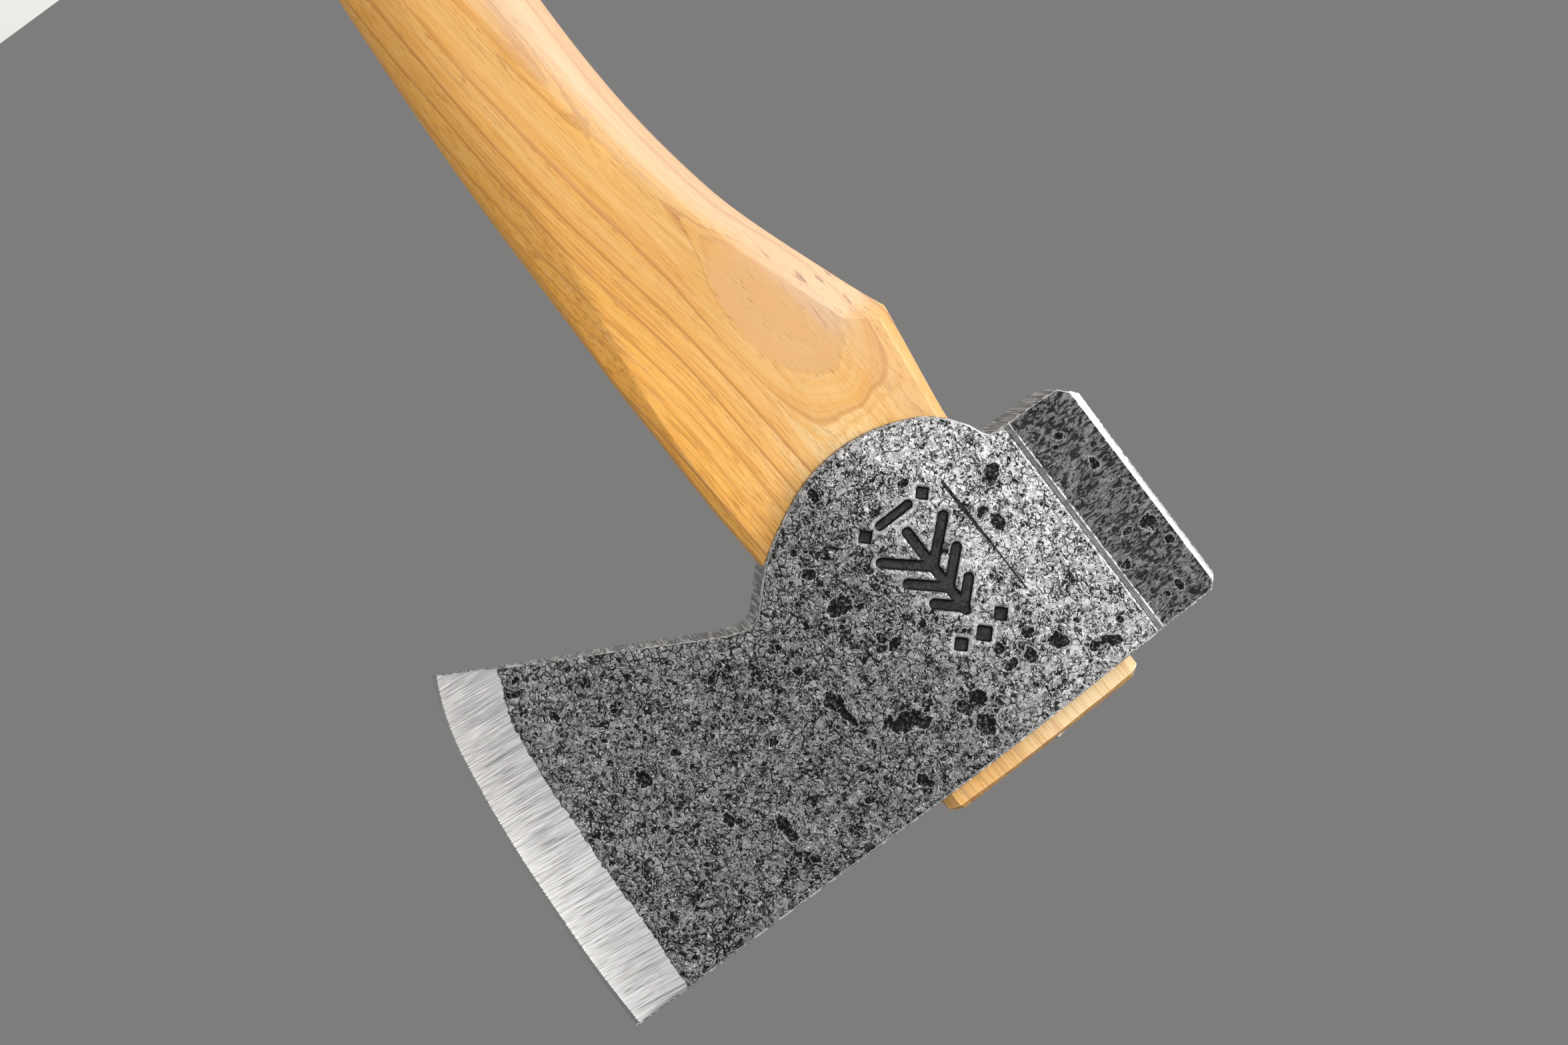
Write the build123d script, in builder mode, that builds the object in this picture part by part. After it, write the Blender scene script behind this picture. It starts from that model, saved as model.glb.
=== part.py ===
from build123d import *
import math
import os

# Hatchet with a bearded carving head, hung on a curved wooden haft.
# Millimetres. +Z runs up the haft towards the top of the head, +X towards the
# cutting edge, Y = 0 is the mid-plane. The origin is the middle of the grip.

# ---- driving dimensions -------------------------------------------------
HEAD_TOP = 300.0          # height of the head's top line above the grip centre
HEAD_HALF_T = 15.4        # half thickness over the eye
POLL_X = -47.4            # striking face of the poll
POLL_HALF_T = 12.55        # half thickness at the poll face
POLL_CHAMFER = 1.5
BEVEL_HALF_T = 3.0        # half thickness where the ground bevel starts
EDGE_HALF_T = 0.15        # half thickness of the cutting edge itself
EYE_HALF_L = 24.1         # eye and tongue, half length along X
EYE_FLAT_L = 22.0         # where the eye's flat sides turn into its corner facets
EYE_HALF_W = 8.75         # eye and tongue, half width along Y
EYE_END_HALF_W = 5.0
TONGUE_PROUD = 4.9        # how far the tongue stands above the head
TONGUE_CHAMFER = 1.2
KERF_TOP_HALF_W = 2.9     # wooden wedge, half thickness at its top
KERF_BOT_HALF_W = 0.5
KERF_DEPTH = 46.0         # below the head's top line
CROSS_HALF_L = 7.0        # steel wedge, half length across the tongue
CROSS_TOP_HALF_T = 1.3
CROSS_BOT_HALF_T = 0.25
CROSS_DEPTH = 21.0
CROSS_ANGLE = 62.0        # steel wedge's angle to the wooden one, in plan
HEAD_PROUD_OF_TOP = 0.6   # the steel wedge stands this far above the tongue

XZ_HEAD = Plane(origin=(0, 0, HEAD_TOP), x_dir=(1, 0, 0), z_dir=(0, -1, 0))


def level(z):
    """Horizontal plane at height z measured from the head's top line."""
    return Plane.XY.offset(HEAD_TOP + z)


# ---- outlines, (x, z) with z measured from the head's top line -----------
LUG_ARC = [(-23.6, -59.5), (-20.0, -63.1), (-14.9, -65.8), (-9.8, -67.6), (-4.7, -68.5),
           (0.9, -68.6), (6.0, -67.9), (11.1, -66.3), (16.2, -63.9), (21.3, -61.1)]
BEARD = [(36.5, -52.0), (40.0, -53.6), (50.0, -59.2), (60.0, -64.9), (70.0, -70.3), (77.1, -74.3), (90.4, -82.0)]

# station z, cutting edge x, back of the bevel x
BLADE = [(1.0, 101.1, 88.3), (-14.0, 101.1, 87.1), (-28.0, 100.4, 86.5), (-40.0, 99.55, 85.8),
         (-50.0, 98.5, 85.2), (-60.0, 97.0, 84.0), (-70.0, 95.0, 81.4), (-76.0, 93.0, 78.6), (-83.0, 89.9, 74.6)]


def head_outline():
    """Side outline, carried past the cutting edge, which the loft itself ends."""
    with BuildSketch() as outline:
        with BuildLine():
            Polyline((112.0, 0.0), (POLL_X + 2.6, 0.0), (POLL_X + 0.25, -2.6), (POLL_X, -48.0),
                     (POLL_X + 3.4, -51.6), (-28.4, -52.4))
            Spline((-28.4, -52.4), (-27.1, -53.3), (-25.9, -56.0), (-23.6, -59.5), tangents=[(1, -0.02), (0.62, -0.78)])
            Spline(*LUG_ARC, (24.0, -59.1), (29.0, -54.3), (30.9, -52.3), (33.0, -51.35), (36.5, -52.0),
                   tangents=[(0.66, -0.75), (0.9, -0.42)])
            Polyline(*BEARD)
            Polyline(BEARD[-1], (112.0, -94.5), (112.0, 0.0))
        make_face()
    return outline.sketch


def eye_shape(grow=0.0):
    """Eye and tongue cross-section in plan: flat sides, faceted ends."""
    with BuildSketch() as outline:
        with BuildLine():
            Polyline((EYE_HALF_L + grow, EYE_END_HALF_W), (EYE_FLAT_L, EYE_HALF_W + grow),
                     (-EYE_FLAT_L, EYE_HALF_W + grow), (-EYE_HALF_L - grow, EYE_END_HALF_W),
                     (-EYE_HALF_L - grow, -EYE_END_HALF_W), (-EYE_FLAT_L, -EYE_HALF_W - grow),
                     (EYE_FLAT_L, -EYE_HALF_W - grow), (EYE_HALF_L + grow, -EYE_END_HALF_W), close=True)
        make_face()
    return outline.sketch


def kerf_shape():
    """Wooden wedge seen along X, run past both ends of the tongue."""
    with BuildSketch() as outline:
        with BuildLine():
            Polyline((-KERF_TOP_HALF_W, 12.0), (KERF_TOP_HALF_W, 12.0), (KERF_TOP_HALF_W, TONGUE_PROUD),
                     (KERF_BOT_HALF_W, -KERF_DEPTH), (-KERF_BOT_HALF_W, -KERF_DEPTH),
                     (-KERF_TOP_HALF_W, TONGUE_PROUD), close=True)
        make_face()
    return outline.sketch


def cross_shape(top):
    """Steel wedge seen along its length."""
    with BuildSketch() as outline:
        with BuildLine():
            Polyline((-CROSS_TOP_HALF_T, top), (CROSS_TOP_HALF_T, top), (CROSS_BOT_HALF_T, TONGUE_PROUD - CROSS_DEPTH),
                     (-CROSS_BOT_HALF_T, TONGUE_PROUD - CROSS_DEPTH), close=True)
        make_face()
    return outline.sketch


YZ_HEAD = Plane(origin=(0, 0, HEAD_TOP), x_dir=(0, 1, 0), z_dir=(1, 0, 0))
a = math.radians(CROSS_ANGLE)
CROSS = Plane(origin=(0, 0, HEAD_TOP), x_dir=(-math.sin(a), math.cos(a), 0), z_dir=(math.cos(a), math.sin(a), 0))

# ---- head ----------------------------------------------------------------
with BuildPart() as head:
    # plan sections stacked down the head carry the taper, the bevel and the curved edge
    for z, edge_x, bevel_x in BLADE:
        with BuildSketch(level(z)):
            with BuildLine():
                Line((edge_x, -EDGE_HALF_T), (edge_x, EDGE_HALF_T))
                Line((edge_x, EDGE_HALF_T), (bevel_x, BEVEL_HALF_T))
                Spline((bevel_x, BEVEL_HALF_T), (70.0, 5.1), (55.0, 7.8), (40.0, 10.7), (27.0, 13.4),
                       (14.0, 14.9), (0.0, HEAD_HALF_T), (-16.0, 14.9), (-30.9, 13.5))
                Line((-30.9, 13.5), (-32.9, 12.75))
                Line((-32.9, 12.75), (POLL_X - 1.0, POLL_HALF_T))
                Line((POLL_X - 1.0, POLL_HALF_T), (POLL_X - 1.0, -POLL_HALF_T))
                Line((POLL_X - 1.0, -POLL_HALF_T), (-32.9, -12.75))
                Line((-32.9, -12.75), (-30.9, -13.5))
                Spline((-30.9, -13.5), (-16.0, -14.9), (0.0, -HEAD_HALF_T), (14.0, -14.9), (27.0, -13.4),
                       (40.0, -10.7), (55.0, -7.8), (70.0, -5.1), (bevel_x, -BEVEL_HALF_T))
                Line((bevel_x, -BEVEL_HALF_T), (edge_x, -EDGE_HALF_T))
            make_face()
    loft()
    with BuildSketch(XZ_HEAD):
        add(head_outline())
    extrude(amount=30, both=True, mode=Mode.INTERSECT)
    with BuildSketch(level(10)):
        add(eye_shape())
    extrude(amount=-100, mode=Mode.SUBTRACT)
    # chamfered rim of the striking face
    chamfer(head.faces().filter_by(Axis.X, tolerance=1.0).sort_by(Axis.X)[0].edges(), POLL_CHAMFER)

# ---- haft ----------------------------------------------------------------
# z, back x, front x, half thickness, front facet along X and along Y, back facet along X and along Y, corner radius
UPPER = [(-48.0, -22.9, 23.6, 10.2, 1.8, 1.8, 1.7, 2.8, 0.8),
         (-60.0, -23.6, 24.1, 10.9, 1.8, 1.8, 1.8, 2.9, 0.8),
         (-73.0, -25.3, 24.8, 11.8, 1.8, 1.8, 2.0, 3.0, 0.8),
         (-84.3, -26.95, 25.0, 12.35, 1.8, 1.8, 2.35, 3.1, 0.8),
         (-85.8, -27.2, 25.0, 12.4, 1.8, 1.8, 4.5, 3.9, 0.8),
         (-88.9, -25.9, 25.0, 12.4, 1.9, 1.9, 7.2, 5.4, 0.8)]
LOWER = [(-88.9, -25.9, 25.0, 12.4, 1.9, 1.9, 7.2, 5.4, 0.8),
         (-92.0, -24.7, 25.05, 12.4, 2.1, 2.0, 7.0, 5.4, 0.9),
         (-100.0, -21.8, 25.2, 12.35, 2.8, 2.4, 6.8, 5.4, 1.2),
         (-110.0, -18.3, 25.3, 12.3, 4.0, 3.0, 6.8, 5.4, 1.9),
         (-121.0, -15.1, 25.2, 12.2, 5.6, 3.9, 6.9, 5.3, 2.8),
         (-133.0, -12.7, 25.1, 12.1, 7.2, 4.7, 7.2, 5.3, 3.8),
         (-146.0, -11.0, 24.95, 12.0, 8.4, 5.2, 7.6, 5.4, 4.8),
         (-160.0, -10.15, 24.55, 11.9, 9.0, 5.4, 8.2, 5.5, 5.6),
         (-175.0, -10.1, 23.8, 11.8, 9.2, 5.5, 8.8, 5.6, 6.2),
         (-195.0, -10.9, 22.5, 11.7, 9.2, 5.6, 9.0, 5.6, 6.6),
         (-220.0, -13.1, 20.2, 11.6, 9.2, 5.6, 9.2, 5.6, 6.8),
         (-250.0, -16.4, 17.0, 11.5, 9.2, 5.6, 9.2, 5.6, 7.0),
         (-280.0, -19.4, 14.2, 11.45, 9.2, 5.6, 9.2, 5.6, 7.0),
         (-310.0, -21.6, 12.4, 11.5, 9.2, 5.6, 9.2, 5.6, 7.0),
         (-335.0, -22.7, 12.4, 11.7, 9.4, 5.7, 9.4, 5.7, 7.0),
         (-355.0, -22.8, 14.6, 12.2, 9.8, 5.9, 9.8, 5.9, 7.0),
         (-372.0, -22.0, 18.6, 12.8, 10.4, 6.1, 10.4, 6.1, 7.0),
         (-388.0, -20.6, 22.6, 13.2, 11.0, 6.2, 11.0, 6.2, 7.0),
         (-402.0, -19.6, 24.4, 13.3, 11.0, 6.2, 11.0, 6.2, 7.0)]


def haft_section(back, front, half_t, cfx, cfy, cbx, cby, r):
    with BuildSketch() as outline:
        with BuildLine():
            Polyline((front, -(half_t - cfy)), (front, half_t - cfy), (front - cfx, half_t), (back + cbx, half_t),
                     (back, half_t - cby), (back, -(half_t - cby)), (back + cbx, -half_t), (front - cfx, -half_t), close=True)
        make_face()
        fillet(outline.vertices(), r)
    return outline.sketch


with BuildPart() as haft:
    for z, *dims in UPPER:
        with BuildSketch(level(z)):
            add(haft_section(*dims))
    loft(ruled=True)
    for z, *dims in LOWER:
        with BuildSketch(level(z)):
            add(haft_section(*dims))
    loft()
    # the butt is cut a little out of square and its rim is eased
    split(bisect_by=Plane(origin=(0, 0, HEAD_TOP - 394.0), z_dir=(-0.105, 0, 1)), keep=Keep.TOP)
    chamfer(haft.faces().sort_by(Axis.Z)[0].edges(), 1.8)
    # shoulder scribed to the underside of the lugs
    with BuildSketch(XZ_HEAD):
        add(head_outline())
    extrude(amount=30, both=True, mode=Mode.SUBTRACT)
    # tongue through the eye, proud of the head, with a chamfered top
    with BuildSketch(level(-75.0)):
        add(eye_shape())
    extrude(amount=75.0 + TONGUE_PROUD)
    chamfer(haft.faces().sort_by(Axis.Z)[-1].edges(), TONGUE_CHAMFER)
    with BuildSketch(YZ_HEAD):
        add(kerf_shape())
    extrude(amount=40, both=True, mode=Mode.SUBTRACT)
    with BuildSketch(CROSS):
        add(cross_shape(TONGUE_PROUD + 3.0))
    extrude(amount=CROSS_HALF_L, both=True, mode=Mode.SUBTRACT)

# ---- wooden wedge, cut to the tongue it spreads ---------------------------
with BuildPart() as wood_wedge:
    with BuildSketch(level(-60.0)):
        add(eye_shape())
    extrude(amount=60.0 + TONGUE_PROUD)
    chamfer(wood_wedge.faces().sort_by(Axis.Z)[-1].edges(), TONGUE_CHAMFER)
    with BuildSketch(YZ_HEAD):
        add(kerf_shape())
    extrude(amount=40, both=True, mode=Mode.INTERSECT)
    with BuildSketch(CROSS):
        add(cross_shape(TONGUE_PROUD + 3.0))
    extrude(amount=CROSS_HALF_L, both=True, mode=Mode.SUBTRACT)

# ---- steel cross wedge -----------------------------------------------------
with BuildPart() as steel_wedge:
    with BuildSketch(CROSS):
        add(cross_shape(TONGUE_PROUD + 3.0))
    extrude(amount=CROSS_HALF_L, both=True)
    split(bisect_by=level(TONGUE_PROUD + HEAD_PROUD_OF_TOP), keep=Keep.BOTTOM)
    chamfer(steel_wedge.faces().sort_by(Axis.Z)[-1].edges(), 0.3)

os.makedirs("parts", exist_ok=True)
for name, piece in (("head", head), ("haft", haft), ("wood_wedge", wood_wedge), ("steel_wedge", steel_wedge)):
    piece.part.label = name
    export_step(piece.part, "parts/" + name + ".step")
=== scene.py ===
import math

import bmesh
import bpy
import numpy as np
from mathutils import Matrix, Vector


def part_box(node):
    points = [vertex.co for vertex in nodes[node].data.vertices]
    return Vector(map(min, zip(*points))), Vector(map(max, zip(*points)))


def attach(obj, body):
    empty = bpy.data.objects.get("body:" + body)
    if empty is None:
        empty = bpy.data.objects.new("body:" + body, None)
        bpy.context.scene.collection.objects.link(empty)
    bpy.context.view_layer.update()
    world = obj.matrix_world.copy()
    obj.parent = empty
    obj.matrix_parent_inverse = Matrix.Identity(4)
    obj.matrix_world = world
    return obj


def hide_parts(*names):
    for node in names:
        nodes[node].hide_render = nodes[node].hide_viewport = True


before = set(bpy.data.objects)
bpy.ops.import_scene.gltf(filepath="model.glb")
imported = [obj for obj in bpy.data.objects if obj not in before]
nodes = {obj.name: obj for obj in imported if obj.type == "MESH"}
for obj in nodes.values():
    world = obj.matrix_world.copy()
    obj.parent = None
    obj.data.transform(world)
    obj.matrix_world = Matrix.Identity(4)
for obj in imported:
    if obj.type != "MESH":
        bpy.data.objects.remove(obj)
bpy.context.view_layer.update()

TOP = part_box("head")[1].z * 1000.0  # the head's top line, mm above the origin
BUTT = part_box("haft")[0].z  # lowest point of the haft, metres

# All shapes below are in millimetres: x towards the cutting edge, y across,
# z measured from the head's top line (negative down). place() puts them in the frame.


# ------------------------------------------------------------------ helpers
def smooth(t):
    t = np.clip(t, 0.0, 1.0)
    return t * t * (3 - 2 * t)


def step(x, lo, hi):
    return smooth((x - lo) / (hi - lo))


def lattice(x, y, freq, seed):
    """Seeded gradient noise in two dimensions, about -1 to 1."""
    rng = np.random.RandomState(seed)
    n = 128
    ang = rng.rand(n, n) * 2 * np.pi
    gx, gy = np.cos(ang), np.sin(ang)
    px, py = x * freq + 517.3, y * freq + 391.7
    ix, iy = np.floor(px).astype(int), np.floor(py).astype(int)
    fx, fy = px - ix, py - iy

    def corner(a, b):
        return gx[(ix + a) % n, (iy + b) % n] * (fx - a) + gy[(ix + a) % n, (iy + b) % n] * (fy - b)

    u = fx**3 * (fx * (fx * 6 - 15) + 10)
    v = fy**3 * (fy * (fy * 6 - 15) + 10)
    a = corner(0, 0) * (1 - u) + corner(1, 0) * u
    b = corner(0, 1) * (1 - u) + corner(1, 1) * u
    return 1.5 * (a * (1 - v) + b * v)


def fractal(x, y, freq, seed, octaves=3, gain=0.5):
    total, amp = 0.0, 1.0
    for k in range(octaves):
        total = total + amp * lattice(x, y, freq * 2**k, seed + 17 * k)
        amp *= gain
    return total


def seg_dist(x, z, a, b):
    ax, az = a
    bx, bz = b
    dx, dz = bx - ax, bz - az
    t = np.clip(((x - ax) * dx + (z - az) * dz) / (dx * dx + dz * dz + 1e-12), 0, 1)
    return np.hypot(x - ax - t * dx, z - az - t * dz)


def poly_dist(x, z, pts):
    d = np.full(np.shape(x), 1e9)
    for a, b in zip(pts[:-1], pts[1:]):
        d = np.minimum(d, seg_dist(x, z, a, b))
    return d


def curve(points):
    """A monotone cubic through the points, as in a draughtsman's spline."""
    px = np.array([p[0] for p in points], float)
    py = np.array([p[1] for p in points], float)
    h = np.diff(px)
    s = np.diff(py) / h
    m = np.zeros(len(px))
    m[1:-1] = np.where(s[:-1] * s[1:] > 0, 2 * s[:-1] * s[1:] / (s[:-1] + s[1:] + 1e-12), 0.0)
    m[0], m[-1] = s[0], s[-1]

    def f(x):
        x = np.asarray(x, float)
        i = np.clip(np.searchsorted(px, x) - 1, 0, len(h) - 1)
        t = (x - px[i]) / h[i]
        out = (
            (2 * t**3 - 3 * t**2 + 1) * py[i]
            + (t**3 - 2 * t**2 + t) * h[i] * m[i]
            + (-2 * t**3 + 3 * t**2) * py[i + 1]
            + (t**3 - t**2) * h[i] * m[i + 1]
        )
        out = np.where(x < px[0], py[0] + m[0] * (x - px[0]), out)
        return np.where(x > px[-1], py[-1] + m[-1] * (x - px[-1]), out)

    return f


def akima(points):
    """A smooth curve that may overshoot a little, for rounded outlines."""
    px = np.array([p[0] for p in points], float)
    py = np.array([p[1] for p in points], float)
    h = np.diff(px)
    s = np.diff(py) / h
    m = np.zeros(len(px))
    m[1:-1] = (s[:-1] * h[1:] + s[1:] * h[:-1]) / (h[:-1] + h[1:])
    m[0], m[-1] = s[0], s[-1]

    def f(x):
        x = np.asarray(x, float)
        i = np.clip(np.searchsorted(px, x) - 1, 0, len(h) - 1)
        t = (x - px[i]) / h[i]
        out = (
            (2 * t**3 - 3 * t**2 + 1) * py[i]
            + (t**3 - 2 * t**2 + t) * h[i] * m[i]
            + (-2 * t**3 + 3 * t**2) * py[i + 1]
            + (t**3 - t**2) * h[i] * m[i + 1]
        )
        out = np.where(x < px[0], py[0] + m[0] * (x - px[0]), out)
        return np.where(x > px[-1], py[-1] + m[-1] * (x - px[-1]), out)

    return f


class Shape:
    """Collects grids of points and quads, with named values on the points."""

    def __init__(self, fields=()):
        self.v, self.f, self.fields, self.n = [], [], {k: [] for k in fields}, 0

    def add(self, pts, **values):
        pts = np.asarray(pts, float)
        shape = pts.shape[:-1]
        flat = pts.reshape(-1, 3)
        ids = np.arange(self.n, self.n + len(flat)).reshape(shape)
        self.v.append(flat)
        self.n += len(flat)
        for k, store in self.fields.items():
            store.append(np.broadcast_to(np.asarray(values.get(k, 0.0), float), shape).reshape(-1))
        return ids

    def quads(self, a, flip=False, skip=None):
        q = np.stack([a[:-1, :-1], a[1:, :-1], a[1:, 1:], a[:-1, 1:]], -1)
        if flip:
            q = q[..., ::-1]
        q = q[~skip] if skip is not None else q.reshape(-1, 4)
        self.f += [tuple(int(i) for i in r) for r in q.reshape(-1, 4)]

    def face(self, *ids):
        self.f.append(tuple(int(i) for i in ids))

    def build(self, name, sharp=None, merge=2e-6):
        v = np.concatenate(self.v)
        v = v * 0.001
        v[:, 2] += TOP * 0.001
        me = bpy.data.meshes.new(name)
        me.from_pydata(v.tolist(), [], self.f)
        for k, store in self.fields.items():
            a = me.attributes.new(k, "FLOAT", "POINT")
            a.data.foreach_set("value", np.concatenate(store).astype(np.float32))
        bm = bmesh.new()
        bm.from_mesh(me)
        if merge:
            bmesh.ops.remove_doubles(bm, verts=bm.verts, dist=merge)
        bmesh.ops.recalc_face_normals(bm, faces=bm.faces)
        bm.to_mesh(me)
        bm.free()
        me.polygons.foreach_set("use_smooth", [True] * len(me.polygons))
        if sharp is not None:
            me.set_sharp_from_angle(angle=math.radians(sharp))
        me.update()
        o = bpy.data.objects.new(name, me)
        bpy.context.scene.collection.objects.link(o)
        return o


# ------------------------------------------------------------------ the head's shape
EYE = dict(l=24.1, flat=22.0, w=8.75, end=5.0)
z_top = lambda x: np.interp(x, [-47.15, -44.8, 120.0], [-2.6, 0.0, 0.0])
lug = akima([(-28.4, -52.4), (-27.2, -53.2), (-26.0, -55.9), (-23.6, -59.5), (-20.0, -63.1), (-14.9, -65.8),
             (-9.8, -67.6), (-4.7, -68.5), (0.9, -68.6), (6.0, -67.9), (11.1, -66.3), (16.2, -63.9),
             (21.3, -61.1), (24.0, -59.1), (29.0, -54.3), (30.9, -52.4), (33.0, -51.35), (36.5, -52.0),
             (40.0, -53.6), (50.0, -59.2), (60.0, -64.9), (70.0, -70.3), (77.1, -74.3), (90.4, -82.0)])


def z_bot(x):
    x = np.asarray(x, float)
    return np.where(x < -28.4, np.interp(x, [-47.4, -44.0, -28.4], [-48.0, -51.6, -52.4]), lug(x))


edge_x = akima([(-83.0, 89.8), (-80.0, 91.3), (-76.0, 93.1), (-70.0, 95.1), (-60.0, 97.05), (-50.0, 98.5),
                (-40.0, 99.55), (-28.0, 100.4), (-14.0, 101.1), (1.0, 101.1)])
bevel_x = akima([(-83.0, 75.0), (-76.0, 78.6), (-73.0, 79.8), (-70.0, 81.3), (-65.0, 83.2), (-60.0, 84.1),
                 (-50.0, 85.3), (-40.0, 85.8), (-28.0, 86.5), (-14.0, 87.1), (1.0, 88.2)])
cheek = akima([(-30.9, 13.5), (-22.0, 14.4), (-12.0, 15.15), (-1.0, 15.4), (12.0, 14.9), (26.0, 13.4), (40.0, 10.7), (55.0, 7.8)])
MICRO = 0.85
BEVEL_T, MICRO_T, EDGE_T = 3.0, 0.42, 0.12


def half_thickness(x, xb, xe):
    """Half thickness of the head at x, on a row whose bevel starts at xb and ends at xe."""
    poll = np.interp(x, [-48.4, -32.7, -32.25, -31.1, -30.9], [12.55, 12.75, 13.2, 13.28, 13.5])
    blade = 7.8 + (BEVEL_T - 7.8) * (lambda t: t * (1.19 - 0.19 * t))(np.clip((x - 55.0) / (xb - 55.0), 0, 1))
    t = np.where(x < -30.9, poll, np.where(x < 55.0, cheek(x), blade))
    s = np.clip((x - xb) / (xe - MICRO - xb), 0, 1)
    ground = BEVEL_T + (MICRO_T - BEVEL_T) * s + 0.10 * np.sin(np.pi * s)
    t = np.where(x > xb, ground, t)
    m = np.clip((x - (xe - MICRO)) / MICRO, 0, 1)
    return np.where(x > xe - MICRO, MICRO_T + (EDGE_T - MICRO_T) * m, t)


# a plain woodland mark, a tree over a ground line with punched diamonds
MX, MZ = -2.6, -37.0
TREE = [
    [(MX, MZ + 9.2), (MX, MZ - 10.2)],
    [(MX - 4.3, MZ + 4.5), (MX, MZ + 8.6), (MX + 4.3, MZ + 4.5)],
    [(MX - 6.1, MZ - 1.9), (MX, MZ + 3.6), (MX + 6.1, MZ - 1.9)],
    [(MX - 7.8, MZ - 8.5), (MX, MZ - 1.6), (MX + 7.8, MZ - 8.5)],
]
DOTS = [(MX - 5.0, MZ + 14.2, 1.9), (MX, MZ + 15.3, 2.2), (MX + 5.0, MZ + 14.2, 1.9),
        (MX - 7.2, MZ - 14.6, 1.8), (MX + 7.2, MZ - 14.6, 1.8)]


def mark_distance(x, z):
    """Signed distance to the stamped mark, negative inside a stroke."""
    d = np.full(np.shape(x), 1e9)
    for k, line in enumerate(TREE):
        d = np.minimum(d, poly_dist(x, z, line) - 1.1)
    d = np.minimum(d, poly_dist(x, z, [(MX - 3.6, MZ - 14.6), (MX + 3.6, MZ - 14.6)]) - 0.95)
    for cx, cz, r in DOTS:
        d = np.minimum(d, (np.abs(x - cx) + np.abs(z - cz) - r) * 0.72)
    return d


# deep pits and lamination scars: centre x, z, half sizes, turn in degrees, depth
SCARS = [
    (20.2, -17.0, 3.6, 2.0, -12, 0.34), (17.6, -14.6, 1.6, 1.0, 30, 0.2), (23.4, -19.2, 1.7, 1.0, 20, 0.22),
    (6.4, -12.0, 1.9, 2.2, 10, 0.22), (9.6, -12.2, 1.5, 1.9, 25, 0.18), (8.2, -7.0, 2.2, 2.6, -20, 0.16),
    (-3.2, -13.4, 1.9, 1.0, 5, 0.2), (-3.0, -17.6, 1.2, 1.3, 0, 0.15), (29.2, -25.6, 1.0, 3.9, 4, 0.24),
    (24.2, -4.2, 0.8, 0.8, 45, 0.18), (12.8, -31.2, 1.8, 1.1, 15, 0.2), (14.4, -33.4, 1.0, 1.3, 0, 0.18),
    (17.8, -57.8, 0.9, 0.8, 20, 0.3), (15.9, -56.6, 0.7, 0.5, 0, 0.2), (7.8, -64.4, 1.1, 1.7, -8, 0.26),
    (6.2, -46.4, 1.0, 0.6, 30, 0.16), (-8.0, -55.6, 1.4, 0.8, 0, 0.18), (-18.4, -37.6, 1.4, 2.0, 0, 0.15),
    (-17.2, -41.4, 1.7, 1.0, 10, 0.14), (44.0, -30.0, 1.4, 0.9, 30, 0.18), (52.5, -12.5, 1.1, 1.6, 0, 0.16),
    (61.0, -40.0, 1.2, 0.8, -30, 0.16), (46.0, -47.5, 2.0, 0.7, 28, 0.2), (65.6, -54.2, 0.8, 0.7, 0, 0.2),
    (75.8, -60.6, 0.9, 1.4, 0, 0.22), (78.8, -68.6, 1.7, 0.8, -12, 0.26), (77.6, -71.0, 1.2, 0.7, 10, 0.2),
    (80.6, -69.4, 0.7, 0.8, 0, 0.2), (72.0, -2.8, 0.6, 0.5, 0, 0.16), (82.4, -21.8, 0.5, 0.5, 0, 0.2),
    (85.6, -35.2, 0.7, 0.5, 0, 0.2), (84.6, -17.6, 0.4, 0.7, 10, 0.18), (-22.0, -5.0, 2.6, 1.1, -35, 0.14),
    (-38.0, -20.0, 1.3, 0.7, 10, 0.12), (-41.0, -35.0, 1.0, 1.6, 0, 0.12), (36.0, -9.0, 1.3, 0.8, -20, 0.17),
]


def scar_field(x, z, scars):
    """1 at the middle of a pit falling to 0 at its rim and on down to -1.5, and the depth it cuts."""
    field = np.full(np.shape(x), -1.5)
    depth = np.zeros(np.shape(x))
    for cx, cz, rx, rz, turn, deep in scars:
        a = math.radians(turn)
        u = ((x - cx) * math.cos(a) + (z - cz) * math.sin(a)) / rx
        w = (-(x - cx) * math.sin(a) + (z - cz) * math.cos(a)) / rz
        f = np.maximum(1 - np.hypot(u, w), -1.5)
        field = np.maximum(field, f)
        depth = np.maximum(depth, deep * step(f, -0.15, 0.45))
    return field, depth


def random_scars(seed, count):
    rng = np.random.RandomState(seed)
    out = []
    for _ in range(count):
        x = rng.uniform(-44, 80)
        z = rng.uniform(-2, float(z_bot(np.array(x))) + 3)
        r = 0.5 + 1.5 * rng.rand() ** 3
        out.append((x, z, r * rng.uniform(0.8, 1.7), r, rng.uniform(-90, 90), rng.uniform(0.08, 0.2)))
    return out


# columns along the head (fixed up to x = 40, stretched from there to the bevel)
def spread(a, b, d):
    n = max(1, int(round((b - a) / d)))
    return list(np.linspace(a, b, n + 1)[:-1])


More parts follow.
